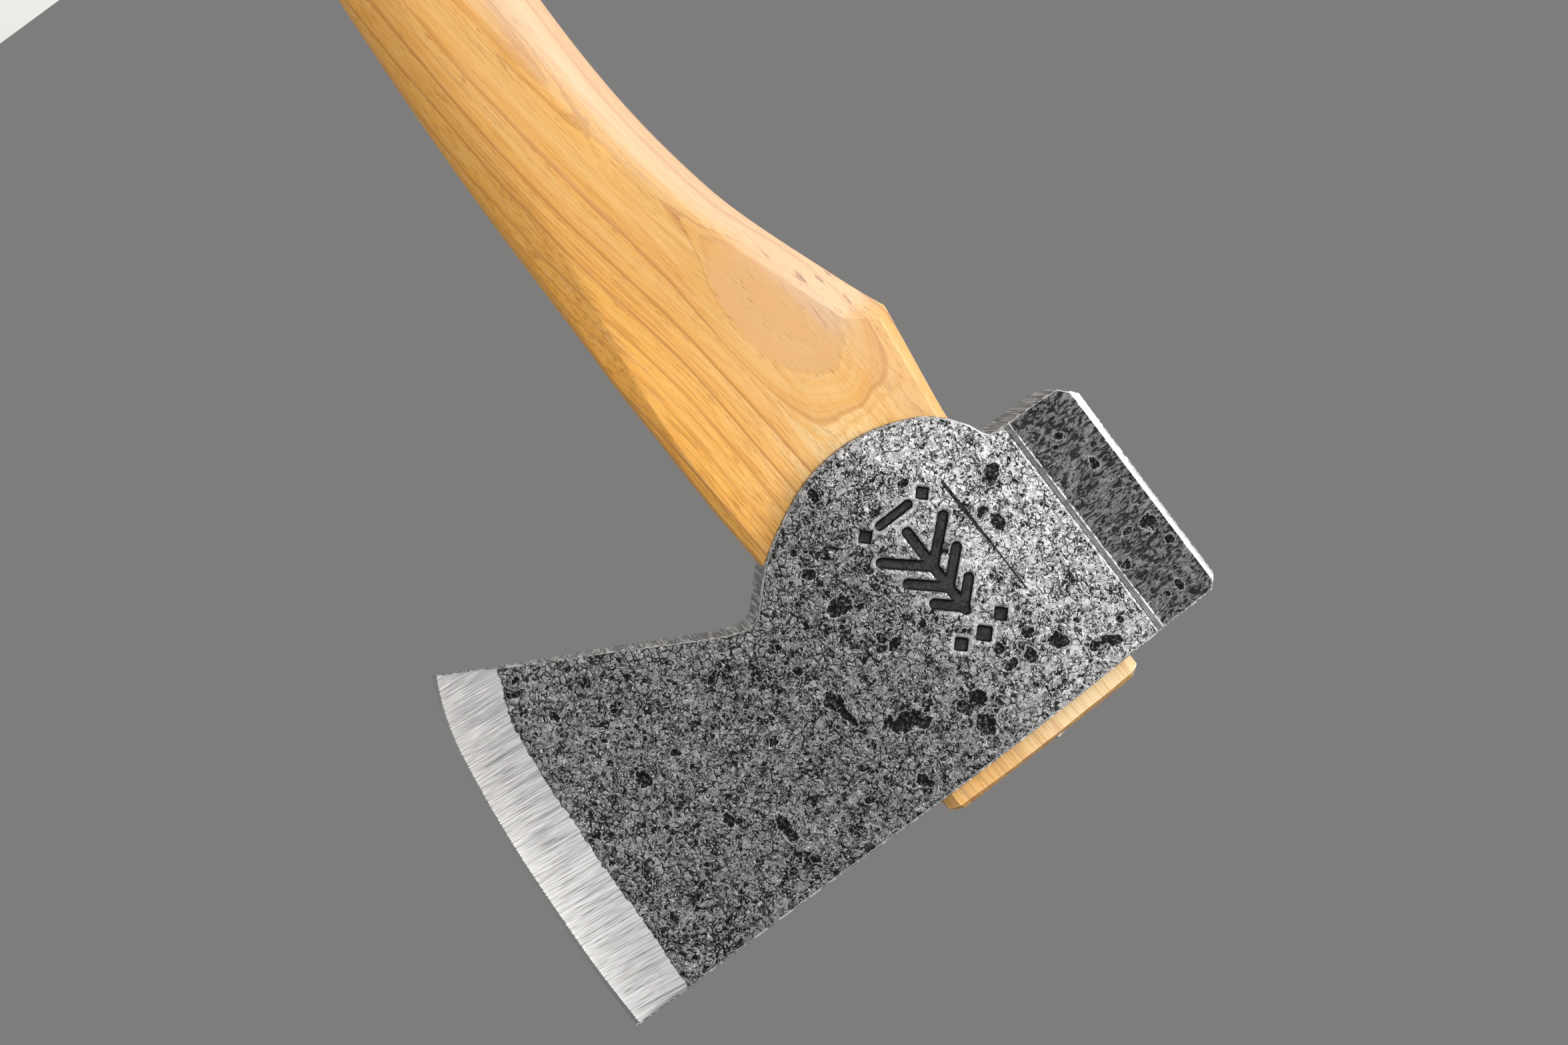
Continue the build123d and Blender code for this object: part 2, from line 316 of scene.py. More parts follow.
COLS_A = (spread(-47.4, -45.9, 0.5) + spread(-45.9, -33.2, 0.58) + [-33.2, -32.95, -32.7, -32.48, -32.25, -31.9, -31.5, -31.1] + spread(-30.9, -EYE["l"], 0.56)
          + spread(-EYE["l"], -EYE["flat"], 0.7) + spread(-EYE["flat"], -12.0, 0.56) + spread(-12.0, 7.2, 0.33)
          + spread(7.2, EYE["flat"], 0.54) + spread(EYE["flat"], EYE["l"], 0.7) + spread(EYE["l"], 40.0, 0.56) + [40.0])
N_BLADE, N_BEVEL, N_MICRO = 76, 18, 2
ROWS = np.array([0.0, 0.0045, 0.010] + list(np.linspace(0.010, 0.27, 27)[1:]) + list(np.linspace(0.27, 0.82, 92)[1:])
                + list(np.linspace(0.82, 0.990, 19)[1:]) + [0.9955, 1.0])
ACROSS = np.array([-1.0, -0.93, -8.75 / 15.2, -5.0 / 15.2, 5.0 / 15.2, 8.75 / 15.2, 0.93, 1.0])


def solve_x(f, v):
    """x on each row where it meets the curve x = f(z)."""
    x = np.full(np.shape(v), 92.0)
    for _ in range(60):
        x = 0.5 * x + 0.5 * f((1 - v) * z_top(x) + v * z_bot(x))
    return x


def head_grid():
    v = ROWS
    xb = solve_x(lambda z: bevel_x(z), v)
    xe = solve_x(lambda z: edge_x(z), v)
    cols = []
    left = -47.15 + (-47.4 + 47.15) * v
    for c in COLS_A:
        t = step(np.array(c), -47.4, -44.0)
        cols.append(c + (left + 47.4) * (1 - t) * (c < -44.0))
    for k in range(1, N_BLADE + 1):
        cols.append(40.0 + (xb - 40.0) * k / N_BLADE)
    for k in range(1, N_BEVEL + 1):
        cols.append(xb + (xe - MICRO - xb) * k / N_BEVEL)
    for k in range(1, N_MICRO + 1):
        cols.append(xe - MICRO + MICRO * k / N_MICRO)
    X = np.stack(cols)  # columns first
    V = np.broadcast_to(v, X.shape)
    Z = (1 - V) * z_top(X) + V * z_bot(X)
    XB, XE = np.broadcast_to(xb, X.shape), np.broadcast_to(xe, X.shape)
    return X, Z, V, XB, XE


FIELDS = ("bevel", "edge", "rim", "mark", "pit", "wall", "score")


def build_head():
    X, Z, V, XB, XE = head_grid()
    T = half_thickness(X, XB, XE)
    nc, nr = X.shape
    s = Shape(FIELDS)
    top_line = [(-47.15, -2.6), (-44.8, 0.0), (101.1, 0.0)]
    xs = np.linspace(-47.4, 90.4, 260)
    bottom_line = list(zip(xs, z_bot(xs)))
    d_top = poly_dist(X, Z, top_line)
    d_bot = poly_dist(X, Z, bottom_line)
    d_out = np.minimum(d_top, d_bot)
    sides = {}
    for side in (-1, 1):
        seed = 11 if side < 0 else 53
        ground = step(X - XB, -0.6, 0.6)
        rough = 1 - ground
        dents = 0.10 * fractal(X, Z, 0.035, seed, 2) + 0.065 * fractal(X, Z, 0.16, seed + 5, 2) + 0.040 * fractal(X, Z, 0.5, seed + 9, 2)
        scars = (SCARS if side < 0 else []) + random_scars(seed + 2, 46 if side < 0 else 78)
        pit, deep = scar_field(X, Z, scars)
        pit, deep = pit * rough - 1.5 * (1 - rough), deep * rough
        fade = step(d_out, 0.2, 1.6) * step(X, -45.8, -44.8)
        y = T + (dents * rough + 0.012 * fractal(X, Z, 0.05, seed + 7, 2) * ground) * fade - deep * fade
        mark = mark_distance(X, Z) if side < 0 else np.full(X.shape, 9.0)
        y = y - 0.72 * step(-mark, -0.26, 0.34) + 0.07 * np.exp(-((mark - 0.75) / 0.4) ** 2)
        # scribed line behind the mark, and the crease where the lug begins
        line = seg_dist(X, Z, (-14.8, -23.5), (-14.3, -50.8)) - 0.20 * step(-Z, 26.0, 42.0) if side < 0 else np.full(X.shape, 9.0)
        crease = np.exp(-((Z + 54.6 - 0.25 * np.sin(X * 0.5)) / 0.35) ** 2) * step(X, -25.0, -23.5) * step(-X, 8.0, 11.0)
        y = y - 0.10 * crease * (side < 0) * fade
        # eased rim all round, wider on the striking face
        rim = np.minimum(d_out, 9.0)
        y = y - 0.34 * (1 - np.clip(rim / 0.42, 0, 1)) * np.clip(T / 3.0, 0.0, 1.0)
        y = np.where(X < -45.9, np.minimum(y, T - 1.5 * np.clip((-45.9 - X) / 1.35, 0, 1)), y)
        sides[side] = np.stack([X, side * y, Z], -1)
        ids = s.add(sides[side], bevel=X - XB, edge=XE - X, rim=np.where(X > XE - 1.2, 9.0, rim), mark=mark,
                    pit=pit, wall=0.0, score=line)
        s.quads(ids, flip=side > 0)

    # walls across the thickness: top, underside, striking face, cutting edge
    hole = {}
    for name, row, out in (("top", 0, 1.0), ("bottom", nr - 1, -1.0)):
        a, b = sides[-1][:, row], sides[1][:, row]
        f = (ACROSS + 1) / 2
        pts = a[:, None] * (1 - f[None, :, None]) + b[:, None] * f[None, :, None]
        x = pts[:, :, 0]
        near = step(-np.abs(x), -33.0, -25.0)
        fixed = np.array([0, 0, -8.75, -5.0, 5.0, 8.75, 0, 0])
        use = np.array([0, 0, 1, 1, 1, 1, 0, 0], float)
        pts[:, :, 1] = pts[:, :, 1] * (1 - near * use) + fixed * near * use
        inner = (f > 0.01) & (f < 0.99)
        wob = 0.05 * fractal(x, pts[:, :, 1], 0.12, 71 if out > 0 else 83, 2) * inner * step(-x, -70, -40) * step(x, -47.0, -43.0)
        pts[:, :, 2] += wob * (np.abs(x) > 26.0)
        w = s.add(pts, bevel=np.repeat((X - XB)[:, row][:, None], len(f), 1), edge=9.0, rim=9.0, mark=9.0, pit=-1.5,
                  wall=1.0, score=9.0)
        skip = np.zeros((nc - 1, len(f) - 1), bool)
        cx = np.array(COLS_A)
        for i in range(len(cx) - 1):
            m = 0.5 * (cx[i] + cx[i + 1])
            if abs(m) < EYE["flat"]:
                skip[i, 2:5] = True
            elif abs(m) < EYE["l"]:
                skip[i, 2:5] = True
        s.quads(w, flip=out > 0, skip=skip)
        hole[name] = (w, cx)
        # faceted corners of the eye
        lo = [i for i in range(len(cx)) if -EYE["l"] - 1e-6 <= cx[i] <= -EYE["flat"] + 1e-6]
        hi = [i for i in range(len(cx)) if EYE["flat"] - 1e-6 <= cx[i] <= EYE["l"] + 1e-6]
        rings = []
        for cols, outer in ((lo, lo[0]), (hi, hi[-1])):
            for r_in, r_out in ((3, 2), (4, 5)):
                tri = [w[i, r_out] for i in cols] + [w[outer, r_in]]
                s.face(*tri)
        flat = [i for i in range(len(cx)) if abs(cx[i]) <= EYE["flat"] + 1e-6]
        ring = [w[i, 2] for i in flat] + [w[hi[-1], 3], w[hi[-1], 4]] + [w[i, 5] for i in reversed(flat)] + [w[lo[0], 4], w[lo[0], 3]]
        hole[name] = ring
    a, b = hole["top"], hole["bottom"]
    for i in range(len(a)):
        j = (i + 1) % len(a)
        s.face(a[i], a[j], b[j], b[i])
    f = (ACROSS + 1) / 2
    for col, kind in ((0, "poll"), (nc - 1, "edge")):
        a, b = sides[-1][col], sides[1][col]
        pts = a[:, None] * (1 - f[None, :, None]) + b[:, None] * f[None, :, None]
        if kind == "poll":
            inner = ((f > 0.01) & (f < 0.99))[None, :] * step(ROWS, 0.0, 0.05)[:, None] * step(-ROWS, -1.0, -0.95)[:, None]
            pts[:, :, 0] += inner * (0.05 * fractal(pts[:, :, 1], pts[:, :, 2], 0.14, 97, 3) - 0.12 * (1 - (2 * f[None, :] - 1) ** 2))
        w = s.add(pts, bevel=-99.0 if kind == "poll" else 9.0, edge=9.0 if kind == "poll" else 0.0, rim=9.0, mark=9.0, pit=-1.5,
                  wall=0.5 if kind == "poll" else 0.0, score=9.0)
        s.quads(w, flip=col == 0)
    return s.build("head_forging", sharp=46.0)


head = build_head()

# ------------------------------------------------------------------ the haft's shape
# z, back x, front x, half thickness, front facet along x and y, back facet along x and y, corner radius
HAFT = [
    (-48.0, -22.9, 23.6, 10.2, 1.8, 1.8, 1.7, 2.8, 0.8), (-60.0, -23.6, 24.1, 10.9, 1.8, 1.8, 1.8, 2.9, 0.8),
    (-73.0, -25.3, 24.8, 11.8, 1.8, 1.8, 2.0, 3.0, 0.8), (-84.3, -26.95, 25.0, 12.35, 1.8, 1.8, 2.35, 3.1, 0.8),
    (-85.8, -27.2, 25.0, 12.4, 1.8, 1.8, 4.5, 3.9, 0.8), (-88.9, -25.9, 25.0, 12.4, 1.9, 1.9, 7.2, 5.4, 0.8),
    (-92.0, -24.7, 25.05, 12.4, 2.1, 2.0, 7.0, 5.4, 0.9), (-100.0, -21.8, 25.2, 12.35, 2.8, 2.4, 6.8, 5.4, 1.2),
    (-110.0, -18.3, 25.3, 12.3, 4.0, 3.0, 6.8, 5.4, 1.9), (-121.0, -15.1, 25.2, 12.2, 5.6, 3.9, 6.9, 5.3, 2.8),
    (-133.0, -12.7, 25.1, 12.1, 7.2, 4.7, 7.2, 5.3, 3.8), (-146.0, -11.0, 24.95, 12.0, 8.4, 5.2, 7.6, 5.4, 4.8),
    (-160.0, -10.15, 24.55, 11.9, 9.0, 5.4, 8.2, 5.5, 5.6), (-175.0, -10.1, 23.8, 11.8, 9.2, 5.5, 8.8, 5.6, 6.2),
    (-195.0, -10.9, 22.5, 11.7, 9.2, 5.6, 9.0, 5.6, 6.6), (-220.0, -13.1, 20.2, 11.6, 9.2, 5.6, 9.2, 5.6, 6.8),
    (-250.0, -16.4, 17.0, 11.5, 9.2, 5.6, 9.2, 5.6, 7.0), (-280.0, -19.4, 14.2, 11.45, 9.2, 5.6, 9.2, 5.6, 7.0),
    (-310.0, -21.6, 12.4, 11.5, 9.2, 5.6, 9.2, 5.6, 7.0), (-335.0, -22.7, 12.4, 11.7, 9.4, 5.7, 9.4, 5.7, 7.0),
    (-355.0, -22.8, 14.6, 12.2, 9.8, 5.9, 9.8, 5.9, 7.0), (-372.0, -22.0, 18.6, 12.8, 10.4, 6.1, 10.4, 6.1, 7.0),
    (-388.0, -20.6, 22.6, 13.2, 11.0, 6.2, 11.0, 6.2, 7.0), (-402.0, -19.6, 24.4, 13.3, 11.0, 6.2, 11.0, 6.2, 7.0),
]
upper = [akima([(r[0], r[k]) for r in reversed(HAFT[:4])]) for k in range(1, 9)]
ridge = [(lambda k: lambda z: np.interp(z, [r[0] for r in reversed(HAFT[3:6])], [r[k] for r in reversed(HAFT[3:6])]))(k)
         for k in range(1, 9)]
lower = [akima([(r[0], r[k]) for r in reversed(HAFT[5:])]) for k in range(1, 9)]
ARC = 5  # points round each corner
SIDE = (3, 14, 3, 5)  # extra points along front-corner facet, side, back facet, back


def section(z):
    """Points of the haft's section at each height z: (..., ring, 2)."""
    z = np.atleast_1d(np.asarray(z, float))
    par = [np.where(z > -84.3, u(z), np.where(z > -88.9, r_(z), l(z))) for u, r_, l in zip(upper, ridge, lower)]
    back, front, h, cfx, cfy, cbx, cby, r = par
    zero = np.zeros_like(z)
    corners = [
        (front, h - cfy), (front - cfx, h), (back + cbx, h), (back, h - cby),
        (back, -(h - cby)), (back + cbx, -h), (front - cfx, -h), (front, -(h - cfy)),
    ]
    P = [np.stack([c[0] + zero, c[1] + zero], -1) for c in corners]
    ring = []
    n = len(P)
    counts = {0: SIDE[0], 1: SIDE[1], 2: SIDE[2], 3: SIDE[3], 4: SIDE[2], 5: SIDE[1], 6: SIDE[0], 7: 4}
    arcs = []
    for i in range(n):
        a, b, c = P[i - 1], P[i], P[(i + 1) % n]
        u, w = a - b, c - b
        lu, lw = np.linalg.norm(u, axis=-1, keepdims=True), np.linalg.norm(w, axis=-1, keepdims=True)
        u, w = u / lu, w / lw
        half = np.arccos(np.clip((u * w).sum(-1, keepdims=True), -1, 1)) / 2
        t = np.minimum(r[:, None] / np.tan(half), 0.47 * np.minimum(lu, lw))
        p0, p2 = b + u * t, b + w * t
        pts = []
        for k in range(ARC):
            s_ = k / (ARC - 1)
            wt = np.sin(half)
            B0, B1, B2 = (1 - s_) ** 2, 2 * s_ * (1 - s_) * wt, s_**2
            pts.append((B0 * p0 + B1 * b + B2 * p2) / (B0 + B1 + B2))
        arcs.append(pts)
    for i in range(n):
        ring += arcs[i]
        nxt = arcs[(i + 1) % n][0]
        last = arcs[i][-1]
        for k in range(1, counts[i] + 1):
            f = k / (counts[i] + 1)
            ring.append(last * (1 - f) + nxt * f)
    ring = np.stack(ring, 1)
    # down the neck the facets melt into an oval
    mid, a = 0.5 * (front + back), 0.5 * (front - back)
    th = np.arctan2(ring[..., 1] / h[:, None], (ring[..., 0] - mid[:, None]) / a[:, None])
    c, n_ = np.cos(th), np.sin(th)
    k = 2 / 2.55
    oval = np.stack([mid[:, None] + a[:, None] * np.sign(c) * np.abs(c) ** k, h[:, None] * np.sign(n_) * np.abs(n_) ** k], -1)
    w = (0.9 * step(-z, 104.0, 158.0))[:, None, None]
    return ring * (1 - w) + oval * w


def eye_ring(grow=0.0):
    """The tongue's section with the same number of points as the haft's."""
    l, fl, w, e = EYE["l"] + grow, EYE["flat"], EYE["w"] + grow, EYE["end"]
    P = np.array([(l, e), (fl, w), (-fl, w), (-l, e), (-l, -e), (-fl, -w), (fl, -w), (l, -e)], float)
    counts = {0: SIDE[0], 1: SIDE[1], 2: SIDE[2], 3: SIDE[3], 4: SIDE[2], 5: SIDE[1], 6: SIDE[0], 7: 4}
    ring, arcs = [], []
    for i in range(8):
        a, b, c = P[i - 1], P[i], P[(i + 1) % 8]
        u, w_ = (a - b) / np.linalg.norm(a - b), (c - b) / np.linalg.norm(c - b)
        arcs.append([b + u * 0.35 * (1 - k / 2) if k <= 2 else b + w_ * 0.35 * (k / 2 - 1) for k in range(ARC)])
    for i in range(8):
        ring += arcs[i]
        last, nxt = arcs[i][-1], arcs[(i + 1) % 8][0]
        for k in range(1, counts[i] + 1):
            f = k / (counts[i] + 1)
            ring.append(last * (1 - f) + nxt * f)
    return np.array(ring)


def build_haft():
    s = Shape(("facet", "endgrain"))
    w_up = np.linspace(0, 1, 22)
    base = section([-60.0])[0]
    rings = []
    for w in w_up:
        x = base[:, 0].copy()
        for _ in range(4):
            ztop = lug(np.clip(x, -26.0, 24.6)) - 0.05
            z = ztop + (-84.3 - ztop) * w
            sec = section(z)
            p = sec[np.arange(len(x)), np.arange(len(x))]
            x = p[:, 0]
        rings.append(np.stack([p[:, 0], p[:, 1], z], -1))
    zs = [-85.0, -85.8, -86.8, -87.9, -88.9, -89.6, -90.8, -92.4, -94.4] + list(np.arange(-96.5, -391.0, -2.4))
    for z in zs:
        p = section([z])[0]
        rings.append(np.stack([p[:, 0], p[:, 1], np.full(len(p), z)], -1))
    R = np.stack(rings)
    # the butt: tilted end with an eased rim
    p = section([-394.0])[0]
    cx = p[:, 0].mean()
    tilt = lambda x: -394.0 + 0.105 * x
    last = np.stack([p[:, 0], p[:, 1], tilt(p[:, 0]) + 2.0], -1)
    ends = []
    for inset, drop in ((0.0, 0.0), (0.35, 0.8), (1.0, 1.5), (2.0, 1.95), (5.0, 2.15), (9.0, 2.2)):
        q = p.copy()
        c = np.array([cx, 0.0])
        d = q - c
        L = np.linalg.norm(d, axis=1, keepdims=True)
        q = c + d * np.maximum(L - inset, 0.5) / L
        ends.append(np.stack([q[:, 0], q[:, 1], tilt(q[:, 0]) + 2.0 - drop], -1))
    keep = R[:, :, 2].max(axis=1) > -391.0
    R = R[keep]
    R = np.concatenate([R, np.stack(ends)])
    # knife and rasp work: slight hollows along the facets
    n = len(R[0])
    arc_len = np.cumsum(np.linalg.norm(np.diff(np.vstack([R[30], R[30][:1]])[:, :2], axis=0), axis=1))
    U = np.broadcast_to(np.concatenate([[0], arc_len[:-1]]), R.shape[:2])
    amp = 0.05 * fractal(U, R[..., 2], 0.03, 31, 2) + 0.018 * fractal(U, R[..., 2] * 0.5, 0.16, 37, 2)
    centre = R.mean(axis=1, keepdims=True)
    d = R - centre
    d[..., 2] = 0
    L = np.linalg.norm(d, axis=-1, keepdims=True)
    fade = step(-R[..., 2], 66.0, 80.0) * step(R[..., 2], -392.0, -386.0)
    R = R + d / L * (amp * fade)[..., None]
    closed = np.concatenate([R, R[:, :1]], axis=1)
    ids = s.add(closed, endgrain=np.where(np.arange(len(closed)) > len(closed) - 5, 1.0, 0.0)[:, None])
    s.quads(ids)
    centre_pt = s.add(np.array([[cx, 0.0, tilt(cx) - 0.2]]), endgrain=1.0)[0]
    for i in range(n):
        s.face(ids[-1, i], ids[-1, i + 1], centre_pt)
    # shoulder, then the tongue up through the eye
    e = eye_ring()
    x = e[:, 0]
    tongue = [np.stack([x, e[:, 1], lug(x) - 0.05], -1)]
    for z in np.linspace(-50, -1.2, 12):
        tongue.append(np.stack([x, e[:, 1], np.full(n, z)], -1))
    rag = lattice(x * 1.0, e[:, 1], 0.11, 5)
    end = step(np.abs(x), 15.0, 24.1)
    top = 4.9 - 0.1 * (x / 20.0) ** 2
    cham = 1.0 + 0.25 * rag + 0.35 * end
    for z in (0.2, 1.4, 2.6):
        tongue.append(np.stack([x, e[:, 1], np.full(n, z)], -1))
    tongue.append(np.stack([x, e[:, 1], top - cham], -1))
    for inset, drop in ((0.55, 0.42), (1.1, 0.0), (2.2, -0.02)):
        g = eye_ring(-inset * 0.9)
        scale_x = (EYE["l"] - inset * (1 + 0.6 * end)) / EYE["l"]
        tongue.append(np.stack([g[:, 0] * np.where(np.abs(g[:, 0]) > 15, scale_x / ((EYE["l"] - inset) / EYE["l"]), 1.0), g[:, 1],
                                top - cham * drop], -1))
    Tn = np.stack(tongue)
    Tc = np.concatenate([Tn, Tn[:, :1]], axis=1)
    tid = s.add(Tc, endgrain=np.where(np.arange(len(Tc)) > len(Tc) - 4, 1.0, 0.0)[:, None])
    s.quads(tid, flip=True)
    s.quads(np.stack([ids[0], tid[0]]), flip=True)
    # top face, closed with one face across the tongue's end
    s.face(*[int(i) for i in tid[-1, :-1]])
    o = s.build("haft_body", sharp=26.0)
    return o


haft = build_haft()


def prism(name, pts_a, pts_b):
    """A closed solid between two matching outlines, in mm."""
    s = Shape()
    a = s.add(np.array(pts_a, float))
    b = s.add(np.array(pts_b, float))
    n = len(a)
    s.face(*a[::-1])
    s.face(*b)
    for i in range(n):
        j = (i + 1) % n
        s.face(a[i], a[j], b[j], b[i])
    return s.build(name, merge=None)


def cut(obj, cutter):
    m = obj.modifiers.new("cut", "BOOLEAN")
    m.operation, m.solver, m.object = "DIFFERENCE", "EXACT", cutter
    dg = bpy.context.evaluated_depsgraph_get()
    me = bpy.data.meshes.new_from_object(obj.evaluated_get(dg))
    obj.modifiers.clear()
    old = obj.data
    obj.data = me
    me.name = obj.name
    bpy.data.meshes.remove(old)
    bpy.data.objects.remove(cutter)


KT, KB, KD = 2.9, 0.5, -46.0
kerf = [(KT, 12.0), (KT, 4.9), (KB, KD), (-KB, KD), (-KT, 4.9), (-KT, 12.0)]
cut(haft, prism("kerf", [(-40, y, z) for y, z in kerf], [(40, y, z) for y, z in kerf]))
ang = math.radians(62.0)
along, across = np.array([math.cos(ang), math.sin(ang)]), np.array([-math.sin(ang), math.cos(ang)])


def cross(t, l, z):
    p = across * t + along * l
    return (p[0], p[1], z)


slot = [(-1.3, 7.9), (1.3, 7.9), (0.25, -16.1), (-0.25, -16.1)]
cut(haft, prism("slot", [cross(t, -7.0, z) for t, z in slot], [cross(t, 7.0, z) for t, z in slot]))
haft.data.set_sharp_from_angle(angle=math.radians(26.0))

for piece, node, slot_name in ((head, "head", "forged_steel"), (haft, "haft", "haft_wood")):
    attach(piece, "root")
    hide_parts(node)
for n in ("wood_wedge", "steel_wedge"):
    b = nodes[n].modifiers.new("eased", "BEVEL")
    b.width, b.segments, b.limit_method, b.angle_limit = 0.00018, 2, "ANGLE", math.radians(25)
    b.harden_normals = False


# ------------------------------------------------------------------ materials
class Mat:
    def __init__(self, name):
        self.m = bpy.data.materials.new(name)
        self.m.use_nodes = True
        self.t = self.m.node_tree
        self.t.nodes.clear()
        out = self.t.nodes.new("ShaderNodeOutputMaterial")
        self.bsdf = self.t.nodes.new("ShaderNodeBsdfPrincipled")
        self.t.links.new(self.bsdf.outputs[0], out.inputs[0])
        tc = self.t.nodes.new("ShaderNodeTexCoord")
        mp = self.t.nodes.new("ShaderNodeMapping")
        mp.inputs["Scale"].default_value = (1000, 1000, 1000)
        mp.inputs["Location"].default_value = (0, 0, -TOP)
        self.t.links.new(tc.outputs["Object"], mp.inputs["Vector"])
        self.P = mp.outputs[0]  # millimetres, z from the head's top line
        sep = self.t.nodes.new("ShaderNodeSeparateXYZ")
        self.t.links.new(self.P, sep.inputs[0])
        self.x, self.y, self.z = sep.outputs

    def put(self, sock, v):
        if isinstance(v, bpy.types.NodeSocket):
            self.t.links.new(v, sock)
        else:
            sock.default_value = v

    def math(self, op, a, b=None, c=None, clamp=False):
        n = self.t.nodes.new("ShaderNodeMath")
        n.operation, n.use_clamp = op, clamp
        for i, v in enumerate((a, b, c)):
            if v is not None:
                self.put(n.inputs[i], v)
        return n.outputs[0]

    def add(self, a, b):
        return self.math("ADD", a, b)

    def sub(self, a, b):
        return self.math("SUBTRACT", a, b)

    def mul(self, a, b):
        return self.math("MULTIPLY", a, b)

    def mx(self, a, b):
        return self.math("MAXIMUM", a, b)

    def step(self, v, lo, hi, a=0.0, b=1.0):
        n = self.t.nodes.new("ShaderNodeMapRange")
        n.interpolation_type = "SMOOTHSTEP"
        self.put(n.inputs["Value"], v)
        n.inputs["From Min"].default_value, n.inputs["From Max"].default_value = lo, hi
        n.inputs["To Min"].default_value, n.inputs["To Max"].default_value = a, b
        return n.outputs[0]

    def vec(self, x, y, z):
        n = self.t.nodes.new("ShaderNodeCombineXYZ")
        for i, v in enumerate((x, y, z)):
            self.put(n.inputs[i], v)
        return n.outputs[0]

    def scaled(self, sx, sy, sz, v=None):
        n = self.t.nodes.new("ShaderNodeVectorMath")
        n.operation = "MULTIPLY"
        self.put(n.inputs[0], v or self.P)
        n.inputs[1].default_value = (sx, sy, sz)
        return n.outputs[0]

    def noise(self, scale, detail=3.0, rough=0.5, dist=0.0, vec=None):
        n = self.t.nodes.new("ShaderNodeTexNoise")
        self.put(n.inputs["Vector"], vec or self.P)
        n.inputs["Scale"].default_value, n.inputs["Detail"].default_value = scale, detail
        n.inputs["Roughness"].default_value, n.inputs["Distortion"].default_value = rough, dist
        return n.outputs[0]

    def voronoi(self, scale, vec=None, feature="F1", rnd=1.0):
        n = self.t.nodes.new("ShaderNodeTexVoronoi")
        n.feature = feature
        self.put(n.inputs["Vector"], vec or self.P)
        n.inputs["Scale"].default_value, n.inputs["Randomness"].default_value = scale, rnd
        return n.outputs["Distance"], (n.outputs["Color"] if feature == "F1" else None)

    def attr(self, name):
        n = self.t.nodes.new("ShaderNodeAttribute")
        n.attribute_name = name
        return n.outputs["Fac"]

    def mix(self, f, a, b, blend="MIX"):
        n = self.t.nodes.new("ShaderNodeMix")
        n.data_type, n.blend_type = "RGBA", blend
        self.put(n.inputs[0], f)
        for k, v in ((6, a), (7, b)):
            self.put(n.inputs[k], v if isinstance(v, bpy.types.NodeSocket) else (*v, 1.0))
        return n.outputs[2]

    def mixf(self, f, a, b):
        n = self.t.nodes.new("ShaderNodeMix")
        n.data_type = "FLOAT"
        self.put(n.inputs[0], f)
        self.put(n.inputs[2], a)
        self.put(n.inputs[3], b)
        return n.outputs[0]

    def ramp(self, v, stops, interp="LINEAR"):
        n = self.t.nodes.new("ShaderNodeValToRGB")
        n.color_ramp.interpolation = interp
        e = n.color_ramp.elements
        while len(e) < len(stops):
            e.new(0.5)
        for k, (p, c) in enumerate(stops):
            e[k].position = p
            e[k].color = (*c, 1.0) if isinstance(c, tuple) else (c, c, c, 1.0)
        self.put(n.inputs[0], v)
        return n.outputs[0]

    def table(self, v, points):
        """A smooth curve through the points, both axes 0 to 1 (the value may dip below 0)."""
        n = self.t.nodes.new("ShaderNodeFloatCurve")
        mapping = n.mapping
        mapping.use_clip = False
        mapping.extend = "HORIZONTAL"
        c = mapping.curves[0]
        while len(c.points) < len(points):
            c.points.new(0.5, 0.5)
        for k, (a, b) in enumerate(points):
            c.points[k].location = (a, b)
            c.points[k].handle_type = "AUTO"
        mapping.update()
        self.put(n.inputs["Value"], v)
        return n.outputs[0]

    def bump(self, height, distance, strength=1.0, normal=None):
        n = self.t.nodes.new("ShaderNodeBump")
        n.inputs["Strength"].default_value = strength
        n.inputs["Distance"].default_value = distance
        self.put(n.inputs["Height"], height)
        if normal is not None:
            self.put(n.inputs["Normal"], normal)
        return n.outputs[0]

    def set(self, name, v):
        self.put(self.bsdf.inputs[name], v if isinstance(v, bpy.types.NodeSocket) or not isinstance(v, tuple) else (*v, 1.0))


def grey(v):
    return (v, v * 1.0, v * 1.015)


